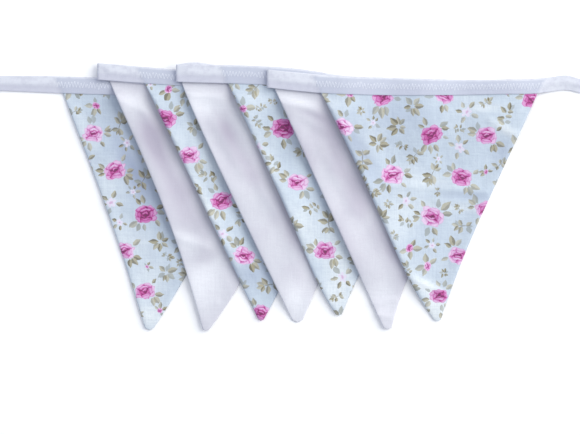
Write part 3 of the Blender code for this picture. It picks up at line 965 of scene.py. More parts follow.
@dataclass(frozen=True)
class TapeCotton:
    """White bias tape: thin plain cotton, through which the printed cloth shows a little."""

    white: tuple = srgb(216, 219, 228)
    shaded: tuple = srgb(202, 204, 216)
    # Painted shade on the tape's lower half and between its threads.
    lower: tuple = srgb(196, 197, 212)
    tinted: tuple = srgb(185, 191, 208)
    thread: float = 0.00034
    lower_shade_cover: float = 0.7
    tint_cover: float = 0.75
    weave_shade: float = 0.20

    def material(self) -> bpy.types.Material:
        """The finish as a material."""
        graph = Graph("bias_tape_cotton", roughness=0.78, sheen=0.2)
        crossing = graph.woven(self.thread, 0.00005, 0.0004)
        cloudy = graph.noise(graph.place(), 220.0, 4.0).outputs[0]
        base = graph.blend(graph.step(cloudy, 0.40, 0.75), self.white, self.shaded)
        # The lower half of the tape darker: painted shade, as if it sloped away from the light.
        low = graph.attribute("painted_shade_lower_half").outputs["Fac"]
        base = graph.blend(graph.sum("MULTIPLY", low, self.lower_shade_cover), base, self.lower)
        inside = graph.attribute("printed_cloth_inside").outputs["Fac"]
        base = graph.blend(graph.sum("MULTIPLY", inside, self.tint_cover), base, self.tinted)
        # Darker between the threads and on thin ones: partly painted shade in the weave's hollows, partly the
        # yarn's uneven tone.
        return graph.paint(graph.blend(graph.spread(crossing, self.weave_shade, 0.0), base, self.lower))


@dataclass(frozen=True)
class Thread:
    """Twisted white sewing thread."""

    white: tuple = srgb(230, 233, 241)
    twist: float = 2600.0

    def material(self) -> bpy.types.Material:
        """The finish as a material."""
        graph = Graph("sewing_thread", roughness=0.45, sheen=0.1)
        x, y, z = graph.split(graph.place())
        along = graph.sum("ADD", graph.sum("ADD", x, y), z)
        strands = graph.sum("SINE", graph.sum("MULTIPLY", along, self.twist * 2 * math.pi))
        inputs = {"Height": strands, "Distance": 0.00003, "Strength": 0.5}
        bump = graph.node("ShaderNodeBump", inputs)
        graph.plug(graph.shader.inputs["Normal"], bump.outputs[0])
        return graph.paint(self.white)


@dataclass(frozen=True)
class FloralCotton:
    """Pale blue cotton, printed with roses, leaves and small blossoms.

    The mesh says where each face is on its motif, in millimetres, so the print is sharp at any
    distance. Its values are motif_place (across, up, seed), motif_flower (radius, depth of pink,
    1 for a small blossom), motif_stem, and leaf_0 and on. A stem or leaf is its middle, and then
    its half length in tenths of a millimetre with its heading, in turns, as the fraction.
    """

    ground: tuple = srgb(196, 208, 220)
    faded: tuple = srgb(212, 221, 228)
    # Painted light and painted shade of the soft areas; the shade also darkens the weave's hollows.
    painted_light_blue: tuple = srgb(232, 238, 240)
    shaded: tuple = srgb(160, 171, 194)
    leaf_dark: tuple = srgb(102, 92, 58)
    leaf_light: tuple = srgb(192, 184, 152)
    leaf_sage: tuple = srgb(154, 160, 158)
    rose_tones: tuple = (
        srgb(236, 226, 240),
        srgb(224, 190, 222),
        srgb(204, 122, 184),
        srgb(182, 40, 134),
        srgb(118, 0, 80),
    )
    blossom: tuple = srgb(221, 214, 231)
    blossom_heart: tuple = srgb(206, 172, 204)
    # Painted shade along the rolled seam at the pennant's edge, and how much of it covers the cloth.
    seam_shade: tuple = srgb(104, 118, 144)
    seam_shade_cover: float = 0.14
    flower_cover: float = 0.94
    stem_cover: float = 0.6
    # How much painted shade darkens the weave's hollows, under the print and over it.
    weave_shade_beneath: float = 0.26
    weave_shade_over: float = 0.06
    leaf_wobble: tuple = (2.0, 2.0, 0.0)
    petal_wobble: tuple = (0.40, 0.40, 0.0)
    petal_swell: tuple = (0.55, 0.45, 0.0)
    thread: float = 0.00038
    softness: float = 0.22
    leaf_slots: int = 8
    leaf_width: float = 0.52
    stem_width: float = 0.07
    rose_height: float = 0.82

    def blade(self, graph: Graph, spot: Socket, name: str, width: float) -> tuple[Socket, ...]:
        """A shape that tapers at both ends: a leaf, or a stem where it is slim.

        Args:
            graph: The material's nodes.
            spot: Where a point is on its motif, in millimetres.
            name: The mesh's value that places the shape.
            width: Half its width as a share of half its length.

        Returns:
            How much of a point is in the shape, how far across it the point is, and two
            numbers from 0 to 1 that tell one shape from another.
        """
        x, y, packed = graph.split(graph.attribute(name).outputs["Vector"])
        half = graph.sum("MULTIPLY", graph.sum("FLOOR", packed), 0.1)
        turn = graph.sum("MULTIPLY", graph.sum("FRACT", packed), 2 * math.pi)
        size = graph.join(half, half, 1.0)
        seen = graph.on(spot, graph.join(x, y, 0.0), graph.join(0.0, 0.0, turn), size)
        along, across, _ = graph.split(seen)
        oval = graph.sum("SUBTRACT", 1.0, graph.sum("MULTIPLY", along, along))
        taper = graph.sum("MAXIMUM", graph.sum("MULTIPLY_ADD", along, -0.28, 1.0), 0.3)
        breadth = graph.sum("MULTIPLY", oval, graph.sum("MULTIPLY", taper, width))
        depth = graph.sum("MULTIPLY", graph.sum("SUBTRACT", breadth, graph.sum("ABSOLUTE", across)), half)
        share = graph.step(depth, -self.softness, self.softness)
        lot = graph.sum("FRACT", graph.sum("MULTIPLY", x, 13.7))
        other = graph.sum("FRACT", graph.sum("MULTIPLY", y, 17.3))
        return share, across, lot, other

    def leaf(self, graph: Graph, spot: Socket, number: int, cloth: Socket) -> Socket:
        """The cloth with one more leaf on it, lighter on one side of its rib.

        Args:
            graph: The material's nodes.
            spot: Where a point is on its motif, in millimetres.
            number: The leaf's number.
            cloth: The colour beneath.

        Returns:
            The colour with the leaf.
        """
        share, across, lot, other = self.blade(graph, spot, f"leaf_{number}", self.leaf_width)
        lit = graph.sum("MULTIPLY", graph.step(across, -0.10, 0.12), 0.52)
        rib = graph.sum("MULTIPLY", graph.step(graph.sum("ABSOLUTE", across), 0.07, 0.02), 0.25)
        tone = graph.sum("ADD", graph.sum("MULTIPLY_ADD", lot, 0.42, lit), rib)
        green = graph.blend(tone, self.leaf_dark, self.leaf_light)
        green = graph.blend(graph.step(other, 0.72, 0.95), green, self.leaf_sage)
        return graph.blend(graph.sum("MULTIPLY", share, graph.spread(lot, 0.90, 0.62)), cloth, green)

    def rose(self, graph: Graph, spot: Socket, depth: Socket) -> tuple[Socket, Socket]:
        """A rose in bloom: pale loose petals round a deep cup.

        Args:
            graph: The material's nodes.
            spot: Where a point is, in radii of the rose.
            depth: How deep its pink is.

        Returns:
            How much of a point is rose, and the rose's colour there.
        """
        tone = 0.0
        bloom = 0.0
        for petal in ROSE_PETALS:
            turn = (0.0, 0.0, math.radians(petal.heading))
            size = (petal.length, petal.width, 1.0)
            seen = graph.on(spot, (petal.x, petal.y, 0.0), turn, size)
            along, across, _ = graph.split(seen)
            out = graph.distance(along, across)
            share = graph.step(out, 1.06, 0.90)
            shade = graph.spread(graph.step(along, -0.9, 0.7), petal.heart, petal.rim)
            edged = graph.sum("MULTIPLY_ADD", graph.step(out, 0.72, 0.98), 0.20, shade)
            tone = graph.cover(share, tone, edged)
            bloom = graph.sum("MAXIMUM", bloom, share)
        contrast = graph.spread(depth, 1.02, 1.14)
        deepened = graph.sum("MULTIPLY_ADD", tone, contrast, graph.spread(depth, 0.06, 0.36))
        return bloom, graph.ramp(deepened, *self.rose_tones)

    def small_blossom(self, graph: Graph, spot: tuple[Socket, Socket], seed: Socket) -> tuple[Socket, Socket]:
        """A pale blossom of five round petals.

        Args:
            graph: The material's nodes.
            spot: How far across and how far up a point is, in radii of the blossom.
            seed: Tells one blossom from another.

        Returns:
            How much of a point is blossom, and the blossom's colour there.
        """
        across, up = spot
        out = graph.distance(across, up)
        turn = graph.sum("DIVIDE", graph.sum("ARCTAN2", up, across), 2 * math.pi)
        swing = graph.sum("MULTIPLY_ADD", turn, 5 * math.pi, graph.sum("MULTIPLY", seed, 25.0))
        lobe = graph.sum("ABSOLUTE", graph.sum("SINE", swing))
        bloom = graph.step(graph.sum("SUBTRACT", graph.spread(lobe, 0.55, 1.0), out), -0.05, 0.05)
        petals = graph.blend(graph.step(lobe, 0.5, 0.0), self.blossom, self.faded)
        return bloom, graph.blend(graph.step(out, 0.42, 0.12), petals, self.blossom_heart)

    def material(self) -> bpy.types.Material:
        """The finish as a material."""
        graph = Graph("floral_cotton_print", roughness=0.85, sheen=0.08)
        crossing = graph.woven(self.thread, 0.00005, 0.0016)
        cloudy = graph.noise(graph.place(), 16.0, 3.0).outputs[0]
        cloth = graph.blend(graph.step(cloudy, 0.42, 0.80), self.ground, self.faded)
        # Soft areas of painted light and painted shade.
        cloth = graph.with_painted_light(cloth, self.painted_light_blue, self.shaded)
        # Darker between the threads and on thin ones: partly painted shade in the weave's hollows, partly the
        # yarn's uneven tone.
        cloth = graph.blend(graph.spread(crossing, self.weave_shade_beneath, 0.0), cloth, self.shaded)

        place = graph.attribute("motif_place").outputs["Vector"]
        u, v, seed = graph.split(place)
        radius, depth, small = graph.split(graph.attribute("motif_flower").outputs["Vector"])
        keyed = graph.join(u, v, graph.sum("MULTIPLY", seed, 60.0))
        wobble = graph.drift(keyed, 0.33, 4.0)
        leaf_spot = graph.moved(place, wobble, self.leaf_wobble)
        stem, *_ = self.blade(graph, leaf_spot, "motif_stem", self.stem_width)
        cloth = graph.blend(graph.sum("MULTIPLY", stem, self.stem_cover), cloth, self.leaf_dark)
        for number in reversed(range(self.leaf_slots)):
            cloth = self.leaf(graph, leaf_spot, number, cloth)

        size = graph.sum("MAXIMUM", radius, 0.001)
        size_up = graph.sum("MULTIPLY", size, self.rose_height)
        spot = graph.vector("DIVIDE", place, graph.join(size, size_up, 1.0))
        spot = graph.moved(spot, wobble, self.petal_wobble)
        spot = graph.moved(spot, graph.drift(keyed, 0.16, 1.0), self.petal_swell)
        rose, rose_colour = self.rose(graph, spot, depth)
        across, up, _ = graph.split(spot)
        pale, pale_colour = self.small_blossom(graph, (across, up), seed)
        flowering = graph.sum("GREATER_THAN", radius, 0.01)
        bloom = graph.sum("MULTIPLY", graph.cover(small, rose, pale), flowering)
        flower = graph.blend(small, rose_colour, pale_colour)
        cloth = graph.blend(graph.sum("MULTIPLY", bloom, self.flower_cover), cloth, flower)
        # Painted shade along the rolled seam, within 1.2 millimetres of the edge.
        seam = graph.attribute("edge_distance").outputs["Fac"]
        rolled = graph.sum("MULTIPLY", graph.step(seam, 1.2, 0.1), self.seam_shade_cover)
        cloth = graph.blend(rolled, cloth, self.seam_shade)
        # A little painted shade between the threads, over the print too.
        return graph.paint(graph.blend(graph.spread(crossing, self.weave_shade_over, 0.0), cloth, self.shaded))


class Motif(NamedTuple):
    """A printed motif: its place, how far it reaches, and what is drawn in it.

    The stem's half length and the flower's radius are in millimetres, and 0 for none.
    """

    x: float
    y: float
    radius: float
    turn: float
    seed: float
    leaves: tuple[Leaf, ...]
    stem: float = 0.0
    flower_radius: float = 0.0
    flower_depth: float = 0.0
    small: float = 0.0


@dataclass
class FlowerPrint:
    """The motifs of one pennant: its roses, and the small ones that fill the ground between."""

    seed: int
    gap: float = -0.0005
    leaf_room: float = 0.0064
    tries: int = 3600
    largest: float = 0.0094
    smallest: float = 0.0038
    large_share: float = 0.35
    leaf_slots: int = FloralCotton.leaf_slots
    looseness: float = 9.0
    margin: float = 0.004
    branches: float = 0.28
    clusters: float = 0.50
    arches: float = 0.66
    sprays: float = 0.90
    stem_length: float = 0.62
    stem_start: float = -0.14
    blossom_radius: float = 0.48
    bud_radius: float = 0.36

    def rose(self, rose: Rose, chance: np.random.Generator) -> Motif:
        """A rose with the leaves round it.

        Args:
            rose: Its row in the table.
            chance: Where the random draws come from.

        Returns:
            The motif.
        """
        turn, seed, chart, flipped = chance.random(4)
        leaning = 0.9 * (turn - 0.5) + (math.pi if flipped < 0.5 else 0.0)
        return Motif(
            rose.x, rose.y, rose.radius * MM + self.leaf_room, leaning, seed,
            POSIES[round(chart)], flower_radius=rose.radius, flower_depth=rose.depth,
        )

    def filler(self, x: float, y: float, radius: float, chance: np.random.Generator) -> Motif:
        """A sprig, a small blossom or a bud. The draw falls below the share of one kind.

        Args:
            x: Where its middle is.
            y: Where its middle is.
            radius: How far it reaches.
            chance: Where the random draws come from.

        Returns:
            The motif.
        """
        turn, seed, kind, tone = chance.random(4)
        reach = radius / MM
        placed = (x, y, radius, turn * 2 * math.pi, seed)
        if kind < self.branches:
            return Motif(*placed, BRANCH, stem=self.stem_length * reach)
        if kind < self.clusters:
            return Motif(*placed, CLUSTER)
        if kind < self.arches:
            return Motif(*placed, ARCH)
        if kind < self.sprays:
            return Motif(*placed, SPRAY, flower_radius=self.blossom_radius * reach, small=1.0)
        pink = 0.2 + 0.5 * tone
        return Motif(*placed, BUD_LEAVES, flower_radius=self.bud_radius * reach, flower_depth=pink)

    def motifs(self, roses: Sequence[Rose], low: np.ndarray, high: np.ndarray) -> list[Motif]:
        """Scatter the small motifs between the roses, the largest first.

        Args:
            roses: The pennant's roses.
            low: The lowest corner of the ground to fill.
            high: Its highest corner.

        Returns:
            Every motif, none more than half a millimetre into its neighbour's reach.
        """
        chance = np.random.default_rng(self.seed)
        found = [self.rose(rose, chance) for rose in roses]
        for number in range(self.tries):
            shrunk = max(number / self.tries - self.large_share, 0.0) / (1.0 - self.large_share)
            radius = self.largest - (self.largest - self.smallest) * shrunk
            x, y = low + (high - low) * chance.random(2)
            if all(math.hypot(x - m.x, y - m.y) > m.radius + radius + self.gap for m in found):
                found.append(self.filler(x, y, radius, chance))
        return found

    def blades(self, motif: Motif, chance: np.random.Generator) -> np.ndarray:
        """The stem and leaves of one motif, as the finish reads them, with each leaf a little off.

        Args:
            motif: The motif.
            chance: Where the random draws come from.

        Returns:
            A row for the stem and for each leaf: across, up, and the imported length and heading.
        """
        rows = np.full((1 + self.leaf_slots, 3), NOWHERE)
        reach = motif.radius / MM
        if motif.stem:
            rows[0] = (self.stem_start * reach, 0.0, round(motif.stem * 10) + 0.5)
        for slot, leaf in enumerate(motif.leaves, start=1):
            heading = math.radians(leaf.heading + self.looseness * chance.normal())
            half = leaf.length * reach * (0.5 + 0.05 * chance.normal())
            x = leaf.x * reach + half * math.cos(heading)
            y = leaf.y * reach + half * math.sin(heading)
            turns = min(max(heading / (2 * math.pi) % 1.0, 0.01), 0.99)
            rows[slot] = (x, y, round(half * 10) + turns)
        return rows

    def print_on(self, mesh: bpy.types.Mesh, motifs: Sequence[Motif]) -> None:
        """Write each face's place on its nearest motif into the mesh.

        Args:
            mesh: The pennant's mesh.
            motifs: The motifs, which lie anywhere on it.
        """
        points = np.empty(len(mesh.vertices) * 3)
        mesh.vertices.foreach_get("co", points)
        points = points.reshape(-1, 3)
        corners = np.empty(len(mesh.loops), dtype=np.int32)
        mesh.loops.foreach_get("vertex_index", corners)
        corners = corners.reshape(-1, 3)
        centre = points[corners].mean(axis=1)
        rows = np.array([(m.x, m.y, m.radius, m.turn, m.seed) for m in motifs])
        away = np.hypot(centre[:, 0, None] - rows[:, 0], centre[:, 1, None] - rows[:, 1])
        nearest = (away / rows[:, 2]).argmin(axis=1)
        chosen = rows[nearest][:, None, :]
        dx = (points[corners][..., 0] - chosen[..., 0]) / MM
        dy = (points[corners][..., 1] - chosen[..., 1]) / MM
        cosine = np.cos(chosen[..., 3])
        sine = np.sin(chosen[..., 3])
        seeds = np.broadcast_to(chosen[..., 4], dx.shape)
        place = np.stack([dx * cosine + dy * sine, dy * cosine - dx * sine, seeds], axis=-1)
        write_values(mesh, "motif_place", place, "CORNER")
        chance = np.random.default_rng(self.seed + 1)
        blades = np.array([self.blades(motif, chance) for motif in motifs])[nearest]
        flowers = np.array([(m.flower_radius, m.flower_depth, m.small) for m in motifs])[nearest]
        names = ["motif_stem"] + [f"leaf_{slot}" for slot in range(self.leaf_slots)]
        for name, values in [("motif_flower", flowers), *zip(names, blades.transpose(1, 0, 2))]:
            write_values(mesh, name, values, "FACE")


@dataclass
class Pennant:
    """One pennant: two layers of cotton sewn together and turned, draped over those below."""

    layer: int
    pile: Pile
    lattice: float = 0.0021
    roll: float = 0.0006
    rim_rows: tuple[float, ...] = (0.12, 0.42, 1.0, 2.0, 3.4)
    bank: dict[Cloth, float] = field(default_factory=lambda: {Cloth.FLORAL: 0.0007, Cloth.WHITE: 0.0003})
    bank_rise: float = 0.0016
    bank_width: float = 0.0060
    pucker: dict[Cloth, float] = field(default_factory=lambda: {Cloth.FLORAL: 0.00042, Cloth.WHITE: 0.0001})
    pucker_pitch: float = 0.0058
    pucker_reach: float = 0.0032
    pucker_drift: float = 3.0
    pucker_drift_length: float = 0.013
    lift: float = 0.0046
    lowest_lift: float = 0.0008
    lift_width: float = 0.019
    lift_power: float = 1.5
    lift_waves: tuple[tuple[float, float, float], ...] = ((0.085, 0.22, 1.0), (0.047, 0.13, 2.0))
    lift_phase: float = 2.1
    lift_left_at_tip: float = 0.25
    lowered_from: float = 0.50
    curl_width: float = 0.0024
    curl: dict[Cloth, float] = field(default_factory=lambda: {Cloth.FLORAL: 0.65, Cloth.WHITE: 0.10})
    covered_ripple: float = 0.00018
    free_ripple: float = 0.0009
    ripple_lengths: tuple[float, ...] = (0.070, 0.052, 0.038, 0.029)
    ripple_range: float = 5.4
    flat_size: tuple[float, float] = (0.1885, 0.2045)

    @property
    def cut(self) -> Cut:
        """The pennant's row in the table."""
        return CUTS[self.layer]

    def flat_points(self) -> np.ndarray:
        """The pennant's edge, rows close inside it, and an even lattice within them.

        Returns:
            Every point of the flat pennant, the edge's first.
        """
        outline = self.pile.outlines[self.layer]
        rows = [outline]
        rows += [inset(outline, self.roll * share) for share in self.rim_rows]
        low = outline.min(axis=0)
        high = outline.max(axis=0)
        pitch = self.lattice * math.sqrt(3) / 2
        points = []
        for index, y in enumerate(np.arange(low[1], high[1], pitch)):
            shift = self.lattice / 2 * (index % 2)
            xs = np.arange(low[0] + shift, high[0], self.lattice)
            points.append(np.column_stack([xs, np.full_like(xs, y)]))
        lattice = np.vstack(points)
        inside = inside_path(outline, lattice[:, 0], lattice[:, 1])
        lattice = lattice[inside]
        clear = from_path(outline, lattice[:, 0], lattice[:, 1], closed=True)
        rows.append(lattice[clear > self.roll * self.rim_rows[-1] + 0.4 * self.lattice])
        return np.vstack(rows)

    def ripple(self, x: np.ndarray, y: np.ndarray) -> np.ndarray:
        """Slow waves that no two pennants share, from 0 to 1."""
        chance = np.random.default_rng(40 + self.layer)
        total = np.zeros_like(x)
        for length in self.ripple_lengths:
            angle, phase = chance.random(2) * 2 * math.pi
            along = x * math.cos(angle) + y * math.sin(angle)
            total += length / self.ripple_lengths[0] * np.sin(2 * math.pi * along / length + phase)
        return 0.5 + total / self.ripple_range

    def lifted(self, left: np.ndarray, y: np.ndarray) -> np.ndarray:
        """How far the loose left side stands off what it lies on, with its edge curled down.

        Args:
            left: Each point's distance from the left side.
            y: The points' places along Y.

        Returns:
            The extra height at each point.
        """
        shape = np.exp(-((left / self.lift_width) ** self.lift_power))
        if self.layer == 0:
            return self.lowest_lift * shape
        top = self.pile.left_sides[self.layer][0, 1]
        down = (top - y) / (top - self.cut.tip_y)
        lowered = fade(down, self.lowered_from, 1.0 - self.lowered_from)
        height = self.lift_left_at_tip + (1.0 - self.lift_left_at_tip) * lowered
        for length, share, turns in self.lift_waves:
            height += share * np.sin(2 * math.pi * y / length + turns * self.lift_phase * self.layer)
        turned = 1.0 - np.clip(left / self.curl_width, 0.0, 1.0)
        curled = 1.0 - self.curl[self.cut.cloth] * (1.0 - np.sqrt(1.0 - turned**2))
        return self.lift * np.maximum(height, 0.0) * curled * shape

    def creases(self, x: np.ndarray, y: np.ndarray) -> np.ndarray:
        """The height of the pressed creases at each point."""
        total = np.zeros_like(x)
        for crease in CREASES:
            if crease.pennant != self.cut.name:
                continue
            path = np.array([[crease.from_x, crease.from_y], [crease.to_x, crease.to_y]])
            away = from_path(path, x, y, closed=False) / crease.width
            total += crease.rise * np.exp(-(away**2))
        return total

    def painted_light_and_shade(self, x: np.ndarray, y: np.ndarray) -> np.ndarray:
        """How much painted light, or painted shade where it is below nothing, the cloth has at each point."""
        total = np.zeros_like(x)
        for patch in PAINTED_LIGHT_PATCHES:
            if patch.pennant != self.cut.name:
                continue
            turn = math.radians(patch.turn)
            along = ((x - patch.x) * math.cos(turn) + (y - patch.y) * math.sin(turn)) / patch.along
            across = ((y - patch.y) * math.cos(turn) - (x - patch.x) * math.sin(turn)) / patch.across
            total += patch.strength * np.exp(-(along**2) - across**2)
        return total

    def heights(self, x: np.ndarray, y: np.ndarray) -> tuple[np.ndarray, np.ndarray, np.ndarray]:
        """The pennant's upper and lower faces.

        Args:
            x: The points' places along X.
            y: The points' places along Y.

        Returns:
            The height of the upper face, of the lower face, and the distance to the edge.
        """
        pressed = self.pile.pressed(self.layer, x, y)
        free = self.pile.freedom(self.layer, x, y) * (1.0 - pressed)
        edge = from_path(self.pile.outlines[self.layer], x, y, closed=True)
        left = from_path(self.pile.left_sides[self.layer], x, y, closed=False)
        raised = (LAYERS.tape - LAYERS.cloth) / 2 * pressed
        middle = self.pile.base(self.layer, x, y) + LAYERS.cloth / 2 + raised
        waves = self.ripple(x, y) * (self.covered_ripple * (1.0 - pressed) + self.free_ripple * free)
        middle += waves + self.lifted(left, y) * free + self.creases(x, y) * free
        thinned = 1.0 - (1.0 - LAYERS.pressed_cloth / LAYERS.cloth) * pressed
        rounded = np.sqrt(1.0 - (1.0 - np.clip(edge / self.roll, 0.0, 1.0)) ** 2)
        half = LAYERS.cloth / 2 * thinned * rounded
        bank = (1.0 - np.exp(-edge / self.bank_rise)) * np.exp(-((edge / self.bank_width) ** 2))
        bank *= self.bank[self.cut.cloth]
        drift = self.pucker_drift * np.sin(y / self.pucker_drift_length)
        puckered = (1.0 + np.sin(2 * math.pi * y / self.pucker_pitch + drift)) / 2
        pucker = self.pucker[self.cut.cloth] * puckered * np.exp(-edge / self.pucker_reach)
        return middle + half + (bank - pucker * rounded) * free, middle - half, edge

    def build(self, finish: bpy.types.Material) -> bpy.types.Object:
        """Make the pennant's mesh and dress it.

        Args:
            finish: Its cotton.

        Returns:
            The finished piece.
        """
        points = self.flat_points()
        rim = list(range(len(self.pile.outlines[self.layer])))
        flat, _, faces, *_ = delaunay_2d_cdt([Vector(p) for p in points], [], [rim], 1, SAME_PLACE)
        places = np.array([tuple(p) for p in flat])
        x, y = places.T
        upper, lower, edge = self.heights(x, y)
        within = edge > ON_EDGE
        under = np.arange(len(places))
        under[within] = len(places) + np.arange(within.sum())
        top = np.column_stack([x, y, upper])
        bottom = np.column_stack([x, y, lower])[within]
        triangles = np.array(faces)
        below = under[triangles[:, ::-1]]
        both = np.vstack([top, bottom]).tolist()
        piece = make_piece(self.cut.name + "_cloth", both, np.vstack([triangles, below]).tolist(), finish)
        write_values(piece.data, "edge_distance", np.concatenate([edge, edge[within]]) / MM)
        # Painted light and painted shade in soft areas, for the finish to read.
        painted_tones = self.painted_light_and_shade(x, y)
        write_values(piece.data, "painted_light_and_shade", np.concatenate([painted_tones, painted_tones[within]]))
        if self.cut.cloth is Cloth.FLORAL:
            self.add_print(piece.data)
        self.declare(piece)
        return piece

    def add_print(self, mesh: bpy.types.Mesh) -> None:
        """Print the roses and the small motifs on the pennant."""
        outline = self.pile.outlines[self.layer]
        roses = [rose for rose in ROSES if rose.pennant == self.cut.name]
        flowers = FlowerPrint(seed=700 + self.layer)
        low = outline.min(axis=0) - flowers.margin
        high = outline.max(axis=0) + flowers.margin
        motifs = flowers.motifs(roses, low, high)
        flowers.print_on(mesh, motifs)

    def declare(self, piece: bpy.types.Object) -> None:
        """Attach the piece to the body that it rides on, and hide the plain solid that it replaces."""
        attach(piece, BODY)
        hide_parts(self.cut.name)


@dataclass
class BiasTape:
    """The strip of tape, folded lengthwise over the pennants' tops and turned back at each end."""

    pile: Pile
    step: float = 0.0022
    line_points: int = 12
    arc_points: int = 7
    turn_steps: int = 12
    hem_ridge: float = 0.00010
    free_ridge: float = 0.00085
    hem_place: float = 0.05
    hem_spread: float = 0.22
    filled_fall: float = 0.0016
    flat_at_turn: float = 0.002
    rise_from_turn: float = 0.010
    held_flat: float = 0.7
    # Painted shade on the tape's lower half: how far across it reaches, and where it ends towards the right
    # end.
    lower_shade_to: float = 0.30
    lower_shade_fall: float = 0.25
    lower_shade_end: float = 0.192
    lower_shade_end_fall: float = 0.020
    flat_size: tuple[float, float] = (0.0268, 1.66)

    def section(self) -> np.ndarray:
        """The folded tape's closed section, from one leaf's edge round the crest and back inside.

        Returns:
            A row for each point: its share of the way from the edge to the crest, how far round
            the crest it is, which leaf it is on, which face of the leaf, and how far past the edge.
        """
        along = np.linspace(0.0, 1.0, self.line_points)
        round_crest = np.linspace(math.pi / 2, -math.pi / 2, self.arc_points)[1:-1]
        round_edge = np.linspace(math.pi / 2, -math.pi / 2, 5)[1:-1]
        rows = []
        for skin, sign in ((1.0, 1.0), (-1.0, -1.0)):
            rows += [(f, 0.0, sign, skin, 0.0) for f in along]
            rows += [(1.0, math.cos(a), sign * math.sin(a), skin, 0.0) for a in round_crest]
            rows += [(f, 0.0, -sign, skin, 0.0) for f in along[::-1]]
            rows += [(0.0, 0.0, -sign, skin * math.sin(a), math.cos(a)) for a in round_edge]
        return np.array(rows)

    def leaf_levels(self, layer: int, x: np.ndarray, y: np.ndarray) -> tuple[np.ndarray, np.ndarray]:
        """How far the middles of the upper and the lower leaf are from the tape's own middle.

        Args:
            layer: The run, counted from the bottom.
            x: The points' places along X.
            y: The points' places along Y.

        Returns:
            The upper leaf's distance upwards and the lower leaf's distance downwards.
        """
        run = self.pile.runs[layer]
        slot = run.slot(x)
        filled = fade(self.pile.from_pennant(layer, x, y), 0.0, self.filled_fall)
        space = LAYERS.closed_slot + (slot - LAYERS.closed_slot) * filled
        down = LAYERS.leaf / 2 + slot / 2
        across = (y - run.middle(x)) / run.width(x)
        ridge = np.exp(-(((across - self.hem_place) / self.hem_spread) ** 2))
        free = self.pile.freedom(layer, x, y)
        far = 1.0 - fade(run.from_turn(x), self.flat_at_turn, self.rise_from_turn)
        plain = 1.0 - self.held_flat * filled
        roof = (self.hem_ridge + self.free_ridge * free * plain) * ridge * far
        return LAYERS.leaf - down + space + roof, down

    def middle(self, layer: int, x: np.ndarray, y: np.ndarray) -> np.ndarray:
        """The height of the tape's own middle."""
        return self.pile.base(layer, x, y) + LAYERS.leaf + self.pile.runs[layer].slot(x) / 2

    def across(self, run: TapeRun, x: float, section: np.ndarray) -> np.ndarray:
        """Where each point of the section lies across the tape at x."""
        place = np.array([x])
        edge = float(run.width(place)[0]) / 2
        half = LAYERS.leaf / 2 + LAYERS.closed_slot / 2
        crest = edge - half - LAYERS.leaf / 2
        low = -edge + LAYERS.leaf / 2
        share, round_crest, _, face, past = section.T
        bulge = round_crest * (half + face * LAYERS.leaf / 2)
        return low + (crest - low) * share + bulge - past * LAYERS.leaf / 2

    def run_rings(self, layer: int, section: np.ndarray) -> list[np.ndarray]:
        """Rings of points along one run, short of its turns.

        Args:
            layer: The run, counted from the bottom.
            section: The tape's section.

        Returns:
            The rings, in the direction in which the run goes.
        """
        run = self.pile.runs[layer]
        low = run.low + (LAYERS.turn_reach if layer else 0.0)
        high = run.high - (LAYERS.turn_reach if layer < len(CUTS) - 1 else 0.0)
        places = np.linspace(low, high, round((high - low) / self.step) + 1)
        rings = []
        for x in places if run.way > 0 else places[::-1]:
            xs = np.full(len(section), x)
            y = run.middle(xs) + self.across(run, x, section)
            up, down = self.leaf_levels(layer, xs, y)
            leaf, face = section[:, 2], section[:, 3]
            swing = run.way * leaf * ((up + down) / 2 + face * LAYERS.leaf / 2)
            height = self.middle(layer, xs, y) + (up - down) / 2 + swing
            rings.append(np.column_stack([xs, y, height]))
        return rings

    def turn_rings(self, layer: int, section: np.ndarray) -> list[np.ndarray]:
        """Rings of points round the turn from one run up to the next.

        Args:
            layer: The lower run, counted from the bottom.
            section: The tape's section.

        Returns:
            The rings, from the lower run to the upper one.
        """
        lower = self.pile.runs[layer]
        upper = self.pile.runs[layer + 1]
        x = (lower.high if lower.way > 0 else lower.low) - lower.way * LAYERS.turn_reach
        xs = np.full(len(section), x)
        off = section[:, 2] * ((LAYERS.leaf + LAYERS.closed_slot) / 2 + section[:, 3] * LAYERS.leaf / 2)
        rings = []
        for share in np.linspace(0.0, 1.0, self.turn_steps + 1)[1:-1]:
            y = (1 - share) * lower.middle(xs) + share * upper.middle(xs) + self.across(lower, x, section)
            below = self.middle(layer, xs, y)
            above = self.middle(layer + 1, xs, y)
            radius = (above - below) / 2 - lower.way * off
            swung = xs + lower.way * radius * math.sin(math.pi * share)
            height = (above + below) / 2 - radius * math.cos(math.pi * share)
            rings.append(np.column_stack([swung, y, height]))
        return rings

    def printed_inside(self, points: np.ndarray, layers: np.ndarray) -> np.ndarray:
        """How much printed cloth lies inside the tape at each point, from 0 to 1."""
        shares = np.zeros(len(points))
        for layer, cut in enumerate(CUTS):
            mine = layers == layer
            if cut.cloth is Cloth.FLORAL:
                x, y = points[mine, 0], points[mine, 1]
                shares[mine] = fade(self.pile.from_pennant(layer, x, y), 0.0, 0.0008)
        return shares

